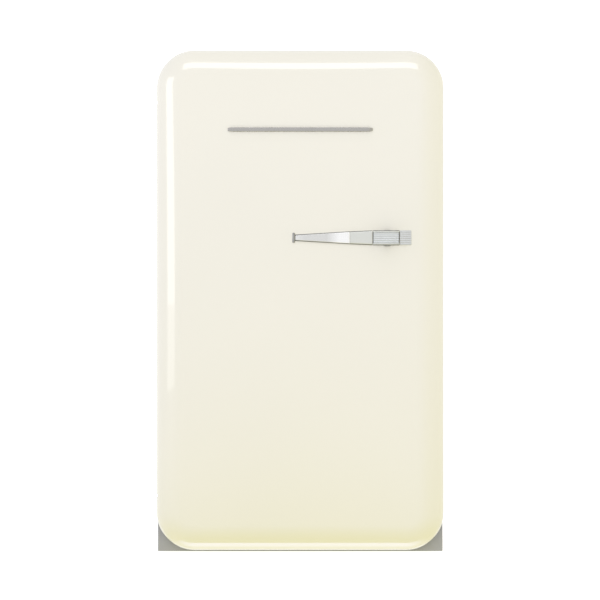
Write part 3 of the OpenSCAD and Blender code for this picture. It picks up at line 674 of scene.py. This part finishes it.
def cabinet_face():
    """Front flange of the cabinet, folded round its outer edge and into the tub."""
    tub, lip = mouth_outline(2 * MM), mouth_outline(2.6 * MM)
    sections = [
        at_y(cabinet_outline(0), CAB_Y + 5 * MM),
        at_y(cabinet_outline(0), CAB_Y + 1.6 * MM),
        at_y(cabinet_outline(0.2 * MM), CAB_Y + 0.8 * MM),
        at_y(cabinet_outline(0.8 * MM), CAB_Y + 0.2 * MM),
        at_y(cabinet_outline(1.6 * MM), CAB_Y),
        at_y(lip, CAB_Y),
        at_y(tub, CAB_Y + 0.6 * MM),
        at_y(tub, CAB_Y + 1.2 * MM),
        at_y(cabinet_outline(1.5 * MM), CAB_Y + 1.2 * MM),
        at_y(cabinet_outline(0.8 * MM), CAB_Y + 5 * MM),
    ]
    link(loft("cabinet_face", sections, closed=True), "cabinet", "cream_paint", ["front_frame"])


def cabinet_wrap():
    """One sheet bent over both sides and the top, open below."""
    foot, waist = WRAP_LO.z, WRAP_LO.z + 300 * MM
    arc_steps = 36

    def section(inset, y):
        w, r = WRAP_HI.x - inset, CAB_R - inset
        top = WRAP_HI.z - inset
        path = [(w, foot), (w, waist)] + arc(w - r, top - r, 0, r, arc_steps)
        path += arc(-w + r, top - r, 90, r, arc_steps) + [(-w, waist), (-w, foot)]
        return at_y(path, y)

    y0, y1 = CAB_Y + 5 * MM, REAR_Y - MM
    outer = [section(0, y0), section(0, (y0 + y1) / 2), section(0, y1)]
    inner = [section(MM, y0), section(MM, (y0 + y1) / 2), section(MM, y1)]
    sections = [a + b[::-1] for a, b in zip(outer, inner)]
    link(loft("cabinet_wrap", sections), "cabinet", "cream_paint", ["outer_wrap"])


def tub_section(y, z0, inset):
    """The tub's section at a depth y, with its floor at z0 and all its walls moved inwards by an inset."""
    w = IN_W - inset
    r = max(TUB_R - inset * 0.4, 6 * MM)
    return at_y(rounded_rect(-w, w, z0 + inset, CEILING_Z - inset, r, 12, 6, 12), y)


def fridge_tub():
    """The moulded liner: lip, floor, hump over the compressor and back wall, all with soft corners."""
    hump_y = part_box("bay_shield")[0].y - 34 * MM
    hump_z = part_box("crisper_cover")[0].z - 0.6 * MM
    lip, low, high, end = 3 * MM, 14 * MM, 4 * MM, 16 * MM
    turns = quarter_turn(6)
    sections = [tub_section(CAB_Y + 0.1 * MM, FLOOR_Z, -1.9 * MM)]
    sections += [tub_section(CAB_Y + lip * (1 - math.cos(a)), FLOOR_Z, -0.6 * lip * (1 - math.sin(a)))
                 for a in turns[1:]]
    sections.append(tub_section(0, FLOOR_Z, 0))
    sections += [tub_section(hump_y - low + low * math.sin(a), FLOOR_Z + low * (1 - math.cos(a)), 0)
                 for a in turns]
    sections += [tub_section(hump_y + high * (1 - math.cos(a)), hump_z - high + high * math.sin(a), 0)
                 for a in turns]
    sections += [tub_section(BACK_Y - end + end * math.sin(a), hump_z, 0.9 * end * (1 - math.cos(a)))
                 for a in turns]
    tub = link(loft("fridge_tub", sections), "cabinet", "white_liner", ["inner_liner"])
    open_front(tub, CAB_Y + 0.2 * MM)
    wall = tub.modifiers.new("wall", "SOLIDIFY")
    wall.thickness = 1.6 * MM
    wall.offset = 1
    apply_modifiers(tub)


def open_front(obj, y):
    """Removes the cap that closes a loft in front of a plane."""
    bm = bmesh.new()
    bm.from_mesh(obj.data)
    caps = [f for f in bm.faces if len(f.verts) > 20 and f.calc_center_median().y < y]
    bmesh.ops.delete(bm, geom=caps, context="FACES_ONLY")
    bm.to_mesh(obj.data)
    bm.free()


def liner_ledges():
    """Ledges along the side walls, which carry the shelves and the drawer's cover."""
    shelf_back = BACK_Y - 6 * MM
    # What each pair of ledges carries, how far they start in front of it, and where they end
    pairs = (
        ("upper_shelf_glass", 40 * MM, shelf_back),
        ("lower_shelf_glass", 40 * MM, shelf_back),
        ("crisper_cover", -4 * MM, 90 * MM),
    )
    meshes = []
    for node, ahead, back in pairs:
        lo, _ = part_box(node)
        for side in (-1, 1):
            start = Vector((side * (IN_W - 3 * MM), lo.y - ahead, lo.z - 3.3 * MM))
            end = Vector((start.x, back, start.z))
            meshes.append(bar_along("ledge", start, end, 4.6 * MM, 2.9 * MM, ACROSS, 2.2 * MM))
    link(joined("liner_ledges", meshes), "cabinet", "white_liner")


def screw_head(centre, axis, r, h):
    """Domed head with a round driver recess."""
    dome = [(1, 0), (1, 0.35), (0.93, 0.62), (0.75, 0.85), (0.5, 0.97)]
    recess = [(0.42, 1), (0.36, 0.97), (0.34, 0.45), (0, 0.4)]
    return lathe("screw", [(r * u, h * v) for u, v in dome + recess], centre, axis, 24)


def rear_details():
    """Sheet screws along the rear panel's edges and two pressed beads that stiffen it."""
    margin, pitch, low, steps = 9 * MM, 150 * MM, 100 * MM, 4
    rise = (WRAP_HI.z - CAB_R - low) / steps
    places = [(side * (WRAP_HI.x - margin), low + rise * i) for side in (-1, 1) for i in range(steps + 1)]
    places += [(i * pitch, WRAP_HI.z - margin) for i in (-1, 0, 1)]
    heads = [screw_head((x, REAR_Y, z), (0, 1, 0), 4 * MM, 2 * MM) for x, z in places]
    link(joined("rear_screws", heads), "cabinet", "zinc_steel")
    bead_x, bead_low, bead_high = 222 * MM, 250 * MM, 885 * MM
    beads = [bar_along("bead", (x, REAR_Y, bead_low), (x, REAR_Y, bead_high), 7 * MM, 1.6 * MM, ACROSS,
                       1.5 * MM) for x in (-bead_x, bead_x)]
    link(joined("rear_beads", beads), "cabinet", "galvanised_steel")


def bay_side_sheets():
    """Sheets that close the foam off at both sides of the machine bay."""
    lo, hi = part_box("bay_shield")
    z, half = (lo.z + hi.z) / 2, (hi.z - lo.z) / 2 - MM
    sheets = [bar_along("sheet", (x, lo.y + 2 * MM, z), (x, REAR_Y - 2 * MM, z), 0.5 * MM, half, ACROSS,
                        0.3 * MM) for x in (lo.x + 0.8 * MM, hi.x - 0.8 * MM)]
    link(joined("bay_side_sheets", sheets), "cabinet", "galvanised_steel")


def hinge_screw_heads():
    """Two domed screw heads on each hinge bracket."""
    meshes = []
    for node in HINGE_BRACKETS:
        lo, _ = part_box(node)
        for z in (lo.z + 7 * MM, lo.z + 36 * MM):
            meshes.append(screw_head((lo.x + 9.5 * MM, CAB_Y - 2.5 * MM, z), (0, -1, 0), 4 * MM, 1.5 * MM))
    link(joined("hinge_screw_heads", meshes), "cabinet", "zinc_steel", ["hinge_screws"])


def levelling_feet():
    """Knurled plastic feet on threaded studs."""
    for name in ("left_foot", "right_foot"):
        lo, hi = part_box(name)
        x, y = (lo.x + hi.x) / 2, (lo.y + hi.y) / 2
        r, disc, collar = (hi.x - lo.x) / 2, 12 * MM, 5.4 * MM
        root, crest, pitch = 3.4 * MM, 4 * MM, 1.25 * MM
        profile = [(0, 0), (r - 2.4 * MM, 0), (r - 1.2 * MM, 0.5 * MM), (r * 0.96, 2.6 * MM), (r, 3.4 * MM),
                   (r, disc - 0.8 * MM), (r * 0.96, disc), (collar, disc), (collar, disc + 0.6 * MM)]
        z = disc + MM
        while z < hi.z - 2 * pitch:
            profile += [(root, z), (crest, z + pitch / 2)]
            z += pitch
        profile += [(root, hi.z - pitch), (2.8 * MM, hi.z)]
        mesh = lathe(name + "_turned", profile, (x, y, 0), UPRIGHT, 120, 30, 0.7 * MM)
        link(mesh, name, "dark_plastic", [name])


def dial_marks():
    """Raised tick marks on the housing round the thermostat knob, the longest at the coldest setting."""
    lo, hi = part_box("thermostat_knob")
    y, z = (lo.y + hi.y) / 2, (lo.z + hi.z) / 2
    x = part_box("thermostat_housing")[0].x
    meshes = []
    for i in range(7):
        a = math.radians(225 - 45 * i)
        out = Vector((0, math.cos(a), math.sin(a)))
        start = Vector((x, y, z)) + out * 20 * MM
        end = start + out * (2.2 + 0.5 * i) * MM
        half_width = (0.35 + 0.08 * i) * MM
        meshes.append(bar_along("tick", start, end, 0.3 * MM, half_width, ACROSS, 0.15 * MM))
    link(joined("dial_marks", meshes), "cabinet", "dark_plastic")


# ---- The door's inner side ----

GASKET_LO, GASKET_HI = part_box("door_gasket")
BINS_LO, BINS_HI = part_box("door_bins")


def ring_at(w, z0, z1, r, y):
    """Rounded rectangle that reaches w to both sides, at a depth y."""
    return at_y(rounded_rect(-w, w, z0, z1, r, 10, 8, 16), y)


def gasket():
    """Magnetic seal: a base, a folded bellows and a flat magnet chamber, symmetric about its middle."""
    middle = 8.5
    # Each point is a distance from the middle and a height over the door, in millimetres
    half = [(7, 0), (7, 1.4), (4.5, 2.4), (6.3, 4), (4.1, 5.4), (6.1, 6.8), (8.1, 7.8), (8.5, 10),
            (7.7, 11.6)]
    profile = [(middle + d, h) for d, h in half] + [(middle - d, h) for d, h in reversed(half)]
    sections = []
    for inset, h in profile:
        d = inset * MM
        sections.append(ring_at(GASKET_HI.x - d, GASKET_LO.z + d, GASKET_HI.z - d, 30 * MM - d,
                                DOOR_Y + h * MM))
    link(loft("gasket_profile", sections, closed=True), "door", "gasket", ["door_gasket"])


def door_dyke():
    """Raised wall round the bins, drawn from one sheet: its outer and inner side and the nose between."""
    half_w, z0, z1 = BINS_HI.x + 0.4 * MM, BINS_LO.z - 8 * MM, GASKET_HI.z - 63 * MM
    top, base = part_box("door_liner")[1].y, DOOR_Y
    foot, nose, thick = 6 * MM, 5 * MM, 16 * MM
    turns = quarter_turn(5)
    profile = [(-foot, base + 0.1 * MM)]
    profile += [(-foot + foot * math.sin(a), base + foot * (1 - math.cos(a))) for a in turns[1:]]
    profile += [(nose * (1 - math.cos(a)), top - nose * (1 - math.sin(a))) for a in turns]
    profile += [(thick - nose * (1 - math.sin(a)), top - nose * (1 - math.cos(a))) for a in turns]
    profile += [(thick + foot * (1 - math.sin(a)), base + foot * (1 - math.cos(a)))
                for a in reversed(turns)]
    profile.append((thick + foot, base - MM))
    sections = [ring_at(half_w + d, z0 - d, z1 + d, 12 * MM + d, y) for d, y in profile]
    link(loft("door_inner_wall", sections), "door", "white_liner", ["door_liner"])


def door_flange():
    """Flat sheet behind the door's foam, with a rounded edge and the two hinge slots."""
    sections = []
    for d, y in ((1, -2.5), (1, -0.8), (1.3, -0.25), (2.2, 0)):
        w = HALF_W - d * MM
        low, high = DOOR_LO.z + d * MM, DOOR_HI.z - d * MM
        outline = rounded_rect(-w, w, low, high, CORNER_R - d * MM, *RING_STEPS)
        sections.append(at_y(outline, DOOR_Y + y * MM))
    plate = link(loft("door_inner_flange", sections), "door", "white_liner")
    cut_hinge_slots(plate)


def rack_lugs():
    """Lugs on the raised wall that the three bins hang on."""
    x, y = BINS_HI.x - MM, DOOR_Y + 32 * MM
    bottle_bin_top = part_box("bottle_retainer")[1].z - 3 * MM
    lugs = []
    for bin_top in (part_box("dairy_bin")[1].z, BINS_HI.z, bottle_bin_top):
        low, high = bin_top - 43 * MM, bin_top - 21 * MM
        lugs += [bar_along("lug", (side * x, y, low), (side * x, y, high), 2.2 * MM, 9.5 * MM, ACROSS,
                           1.6 * MM)
                 for side in (-1, 1)]
    link(joined("rack_lugs", lugs), "door", "white_liner")


# ---- Handle and badge ----

BODY_LO, BODY_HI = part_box("handle_body")
HANDLE_Z = (BODY_LO.z + BODY_HI.z) / 2
# Width of the dark edge that shows above and below the handle's bright faces
OUTLINE = 1.3 * MM


def yz_section(x, y0, y1, half, r, crown_front=0.0):
    """Rounded section across the handle, its front side slightly crowned."""
    points = rounded_rect(y0, y1, -half, half, r, 6, 2, 10)
    out = []
    for y, z in points:
        share = (1 - (y - y0) / (y1 - y0)) * (1 - (z / half) ** 2)
        out.append((x, y - crown_front * share, HANDLE_Z + z))
    return out


def tapered_bar(name, x_span, y_span, half_span, r, soft, crown_front=0.0, sag=0.0, steps=14):
    """Bar along X between two half heights, with softened ends; sag sinks its left end backwards."""
    x0, x1 = x_span
    half_0, half_1 = half_span
    places = [(x0, soft), (x0 + soft * 0.3, soft * 0.3)]
    places += [(x0 + soft + (x1 - x0 - 2 * soft) * i / steps, 0) for i in range(steps + 1)]
    places += [(x1 - soft * 0.3, soft * 0.3), (x1, soft)]
    sections = []
    for x, inset in places:
        t = (x - x0) / (x1 - x0)
        half = half_0 + (half_1 - half_0) * t - inset * 0.7
        front = y_span[0] + sag * (1 - t) ** 2 + inset * 0.7
        sections.append(yz_section(x, front, y_span[1], half, min(r, half * 0.9), crown_front))
    return loft(name, sections)


def handle_blade():
    """Tapered chrome face with a painted reflection, on a dark backing."""
    lo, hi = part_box("handle_blade")
    x_span = (lo.x, hi.x)
    tip, root = 6 * MM, (hi.z - lo.z) / 2
    back = tapered_bar("handle_blade_back", x_span, (lo.y + 2.2 * MM, hi.y), (tip, root), 1.2 * MM,
                       0.5 * MM)
    link(back, "door", "handle_grey", look="handle_edge")
    face = tapered_bar("handle_blade_face", x_span, (lo.y, lo.y + 5 * MM), (tip - OUTLINE, root - OUTLINE),
                       MM, 0.6 * MM, 0.12 * MM, 2.2 * MM, 20)
    link(face, "door", "handle_chrome", ["handle_blade"])


def handle_tip():
    """Upright bar across the blade's free end."""
    lo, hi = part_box("handle_tip")
    mid, half = (lo + hi) / 2, (hi - lo) / 2
    bar = bar_along("handle_tip_bar", (mid.x, mid.y, lo.z), (mid.x, mid.y, hi.z), half.x, half.y, ACROSS,
                    2.4 * MM)
    link(bar, "door", "handle_grey", ["handle_tip"])


def handle_collar():
    """Satin face on a dark backing that shows as a thin edge above and below it."""
    lo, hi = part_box("handle_collar")
    x_span = (lo.x + 0.4 * MM, hi.x - 0.4 * MM)
    low, high = 12 * MM, (hi.z - lo.z) / 2
    back = tapered_bar("handle_collar_back", x_span, (lo.y + 2.6 * MM, hi.y), (low, high), 1.4 * MM,
                       0.5 * MM)
    link(back, "door", "handle_grey", look="handle_edge")
    face = tapered_bar("handle_collar_face", x_span, (lo.y, lo.y + 5 * MM), (low - OUTLINE, high - OUTLINE),
                       1.4 * MM, 0.5 * MM, 0.3 * MM)
    link(face, "door", "handle_chrome", ["handle_collar"], look="handle_satin")


def reeded(name, x0, x1, y_front, y_back, half, ribs, depth, soft, gap=0.34):
    """Block whose front is a row of rounded ribs along X, with a gap of this share between them."""
    pitch = 2 * half / ribs
    width = (1 - gap) * pitch
    steps = 12

    def section(x, shrink):
        groove = y_front + shrink + depth
        points = [(y_back, -half), (groove, -half)]
        for i in range(ribs):
            low = -half + (i + gap / 2) * pitch
            points.append((groove, low))
            for a in (math.pi * k / steps for k in range(1, steps)):
                rise = math.sin(a) ** 0.6
                points.append((groove - depth * rise, low + (0.5 - 0.5 * math.cos(a)) * width))
            points.append((groove, low + width))
        points += [(groove, half), (y_back, half)]
        return [(x, y, HANDLE_Z + z) for y, z in points]

    return loft(name, [section(x0, soft), section(x0 + soft, 0), section(x1 - soft, 0), section(x1, soft)])


def handle_grip():
    """The fixed end: two rims on a dark backing, with a sunk ribbed panel between them."""
    x0, x1, y0, y1 = BODY_LO.x, BODY_HI.x, BODY_LO.y, BODY_HI.y
    mid_y, deep = (y0 + y1) / 2, (y1 - y0) / 2
    half, rib = (BODY_HI.z - BODY_LO.z) / 2, 10.5 * MM
    face = half - OUTLINE
    rims = []
    for z in (HANDLE_Z - (face + rib) / 2, HANDLE_Z + (face + rib) / 2):
        rims.append(bar_along("rim", (x0 + 0.3 * MM, mid_y, z), (x1 - 0.3 * MM, mid_y, z), (face - rib) / 2,
                              deep, UPRIGHT, 0.8 * MM))
    link(joined("handle_rims", rims), "door", "handle_chrome", look="handle_satin")
    sunk = 1.4 * MM
    start, end = (x0 + 0.2 * MM, mid_y + sunk, HANDLE_Z), (x1 - 0.2 * MM, mid_y + sunk, HANDLE_Z)
    backing = bar_along("handle_grip_back", start, end, half, deep - sunk, UPRIGHT, 1.2 * MM)
    link(backing, "door", "handle_grey", look="handle_edge")
    panel = reeded("handle_reeds", x0 + 1.6 * MM, x1 - 1.6 * MM, y0 + 0.9 * MM, y1 - MM, rib - 0.2 * MM,
                   5, 1.6 * MM, 0.2 * MM)
    link(panel, "door", "handle_chrome", ["handle_body"], look="handle_reeds")


def handle_cap():
    """Finely ribbed cap on a rounded core."""
    lo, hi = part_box("handle_end_cap")
    half = (BODY_HI.z - BODY_LO.z) / 2
    ends = ((lo.x + 0.5 * MM, 0.5 * MM), (lo.x + MM, 0), (hi.x - MM, 0), (hi.x, 0.9 * MM))
    core = loft("handle_cap_core", [yz_section(x, lo.y + 2.2 * MM, hi.y, half - inset, 2 * MM)
                                    for x, inset in ends])
    link(core, "door", "handle_chrome", look="handle_satin")
    cap = reeded("handle_cap_reeds", lo.x + 0.9 * MM, hi.x - 0.3 * MM, lo.y, hi.y - 3 * MM, half - 0.6 * MM,
                 7, 0.9 * MM, 0.3 * MM, 0.22)
    link(cap, "door", "handle_chrome", ["handle_end_cap"], look="handle_cap")


def handle_mount():
    """Foot between the door and the handle, with a flared base that follows the crowned face."""
    lo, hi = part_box("handle_foot")
    cx, hx, hz = (lo.x + hi.x) / 2, (hi.x - lo.x) / 2, (hi.z - lo.z) / 2
    steps = 14
    sections = []
    for t in (i / steps for i in range(steps + 1)):
        flare = (1 - t) ** 3
        u = hx * (0.90 + 0.10 * flare)
        v = hz * (0.94 + 0.06 * flare)
        ring = []
        for x, z in rounded_rect(cx - u, cx + u, HANDLE_Z - v, HANDLE_Z + v, 4 * MM, 8):
            start = face_y(x, z) + 0.3 * MM
            ring.append((x, start + (lo.y - start) * t, z))
        sections.append(ring)
    link(loft("handle_mount", sections), "door", "handle_grey", ["handle_foot"])


def badge():
    """Plain bar with softened ends that follows the door's crown."""
    lo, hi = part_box("badge_bar")
    mid, half = (lo.z + hi.z) / 2, (hi.z - lo.z) / 2
    count = 60
    pitch = (hi.x - lo.x) / count
    soft = [(0, 1.4 * MM), (pitch - 1.5 * MM, 0.5 * MM)]
    places = [(lo.x + d, inset) for d, inset in soft]
    places += [(lo.x + pitch * i, 0) for i in range(2, count - 1)]
    places += [(hi.x - d, inset) for d, inset in reversed(soft)]
    sections = []
    for x, inset in places:
        front, back = face_y(x, mid) - 3.5 * MM + inset, face_y(x, mid) + 0.6 * MM
        outline = rounded_rect(front, back, -half + inset, half - inset, 1.3 * MM, 5)
        sections.append([(x, y, mid + z) for y, z in outline])
    link(loft("badge_strip", sections), "door", "badge_chrome", ["badge_bar"])


def soften_handle_shadow():
    """In light from all round the handle throws almost no shadow on the enamel; only its foot does."""
    for obj in bpy.context.scene.objects:
        if obj.name.startswith("handle_") and obj.name != "handle_mount":
            obj.visible_diffuse = False


dress_cad_nodes()
bevel_cad_nodes()
door_panel()
cabinet_face()
cabinet_wrap()
fridge_tub()
liner_ledges()
rear_details()
bay_side_sheets()
hinge_screw_heads()
levelling_feet()
dial_marks()
gasket()
door_dyke()
door_flange()
rack_lugs()
handle_blade()
handle_tip()
handle_collar()
handle_grip()
handle_cap()
handle_mount()
badge()
soften_handle_shadow()


# ---- Stage ----

# Strength of the even light that comes from the surroundings and off the floor
ROOM_LIGHT = 1.075


def stage():
    """A pale floor that runs up into a pale wall behind the fridge."""
    front, depth, height, bend = -9.5, 3.2, 4.0, 1.2
    profile = [(front, 0), (depth - bend, 0)]
    profile += [(depth - bend + bend * math.sin(a), bend - bend * math.cos(a))
                for a in quarter_turn(16)[1:]]
    profile.append((depth, height))
    half_width = 7.0
    verts = [(x, y, z) for y, z in profile for x in (-half_width, half_width)]
    faces = [(2 * i, 2 * i + 1, 2 * i + 3, 2 * i + 2) for i in range(len(profile) - 1)]
    mesh = bpy.data.meshes.new("studio_sweep")
    mesh.from_pydata(verts, [], faces)
    obj = bpy.data.objects.new("studio_sweep", mesh)
    bpy.context.scene.collection.objects.link(obj)
    for poly in mesh.polygons:
        poly.use_smooth = True
    s = Shader("lit_acrylic", Emission_Color=(1.0, 1.0, 1.0, 1), Emission_Strength=0.85)
    s.feed("Base Color", s.colours(s.noise(1.5, 2), around((0.94, 0.925, 0.875), 0.004)))
    s.feed("Roughness", s.ranged(s.noise(8, 3), 0.6, 0.7))
    mesh.materials.append(s.studio_table((0.86, 0.83, 0.46), (0.35, 1.1), ROOM_LIGHT))
    obj.visible_glossy = False


def area_light(name, location, target, size, power, mirrored=True, shades=True, spread=180,
               colour=(1, 1, 1)):
    """Rectangular light: polished surfaces show a mirrored one, and one that shades lights matt ones."""
    data = bpy.data.lights.new(name, "AREA")
    data.shape = "RECTANGLE"
    data.size, data.size_y = size
    data.energy = power
    data.spread = math.radians(spread)
    data.color = colour
    obj = bpy.data.objects.new(name, data)
    obj.location = location
    obj.rotation_euler = (Vector(target) - Vector(location)).to_track_quat("-Z", "Y").to_euler()
    obj.visible_glossy = mirrored
    obj.visible_diffuse = shades
    obj.visible_camera = False
    bpy.context.scene.collection.objects.link(obj)


def lights():
    """Softboxes that polished surfaces mirror, fills that only shade, and a faint glow off the table."""
    area_light("left_softbox", (-2.05, -1.28, 1.12), (-0.25, -0.25, 1.12), (1.15, 1.3), 6.2, shades=False)
    area_light("left_softbox_skirt", (-2.05, -1.28, 0.36), (-0.25, -0.25, 0.36), (1.15, 0.22), 0.5,
               shades=False)
    area_light("top_softbox", (0, -1.6, 2.5), (0, -0.22, 0.9), (2.2, 0.9), 9.5, shades=False)
    area_light("top_fill", (0, -0.6, 2.8), (0, -0.22, 0.9), (2.4, 1.6), 7.0, mirrored=False)
    area_light("right_fill", (2.6, -2.2, 1.2), (0, -0.2, 0.5), (2.4, 2.4), 2, mirrored=False)
    area_light("front_fill", (0.0, -9.2, 0.5), (0.0, 0, 0.5), (6.0, 4.0), 56, mirrored=False)
    area_light("table_glow", (0, -0.219, 0.002), (0, -0.219, 1), (0.48, 0.042), 0.008, spread=70,
               colour=(1.1, 1.15, 2.3))


def cream_on_the_right(nodes, links, parts, ramp):
    """Tints what is lit or mirrored from the right, as a cream wall would; the backdrop stays white."""
    share = nodes.new("ShaderNodeMapRange")
    share.inputs["From Min"].default_value = 0.15
    share.inputs["From Max"].default_value = 0.85
    links.new(parts.outputs["X"], share.inputs["Value"])
    tint = nodes.new("ShaderNodeValToRGB")
    tint.color_ramp.elements[0].color = (1, 1, 1, 1)
    tint.color_ramp.elements[1].color = (0.91, 0.88, 0.68, 1)
    links.new(share.outputs["Result"], tint.inputs["Fac"])
    product = nodes.new("ShaderNodeVectorMath")
    product.operation = "MULTIPLY"
    links.new(ramp.outputs["Color"], product.inputs[0])
    links.new(tint.outputs["Color"], product.inputs[1])
    seen = nodes.new("ShaderNodeMix")
    seen.data_type = "VECTOR"
    links.new(nodes.new("ShaderNodeLightPath").outputs["Is Camera Ray"], seen.inputs["Factor"])
    links.new(product.outputs["Vector"], seen.inputs["A"])
    links.new(ramp.outputs["Color"], seen.inputs["B"])
    return seen.outputs["Result"]


def surroundings():
    """White room above, the warmer bounce of a pale table below."""
    world = bpy.data.worlds.new("studio")
    bpy.context.scene.world = world
    world.use_nodes = True
    nodes, links = world.node_tree.nodes, world.node_tree.links
    coords = nodes.new("ShaderNodeTexCoord")
    parts = nodes.new("ShaderNodeSeparateXYZ")
    links.new(coords.outputs["Generated"], parts.inputs[0])
    ramp = nodes.new("ShaderNodeValToRGB")
    height = nodes.new("ShaderNodeMapRange")
    height.inputs["From Min"].default_value = -1
    links.new(parts.outputs["Z"], height.inputs["Value"])
    links.new(height.outputs["Result"], ramp.inputs["Fac"])
    ramp.color_ramp.elements[0].position = 0.02
    ramp.color_ramp.elements[0].color = (0.85, 0.83, 0.54, 1)
    ramp.color_ramp.elements[1].position = 0.36
    ramp.color_ramp.elements[1].color = (1, 1, 1, 1)
    for place, level in ((0.58, 1.0), (0.80, 0.84)):
        ramp.color_ramp.elements.new(place).color = (level, level, level, 1)
    links.new(cream_on_the_right(nodes, links, parts, ramp), nodes["Background"].inputs["Color"])
    nodes["Background"].inputs["Strength"].default_value = ROOM_LIGHT


def camera():
    """Level, frontal view from far away at half the fridge's height."""
    distance, height = 8.0, 0.4809
    view_width = 1.1343
    data = bpy.data.cameras.new("camera")
    data.sensor_width = 36
    data.lens = 36 * distance / view_width
    data.clip_end = 60
    obj = bpy.data.objects.new("camera", data)
    obj.location = (-0.5 * MM, SIDE_Y - distance, height)
    obj.rotation_euler = (math.pi / 2, 0, 0)
    bpy.context.scene.collection.objects.link(obj)
    bpy.context.scene.camera = obj


stage()
lights()
surroundings()
camera()
bpy.context.scene.view_settings.view_transform = "Standard"
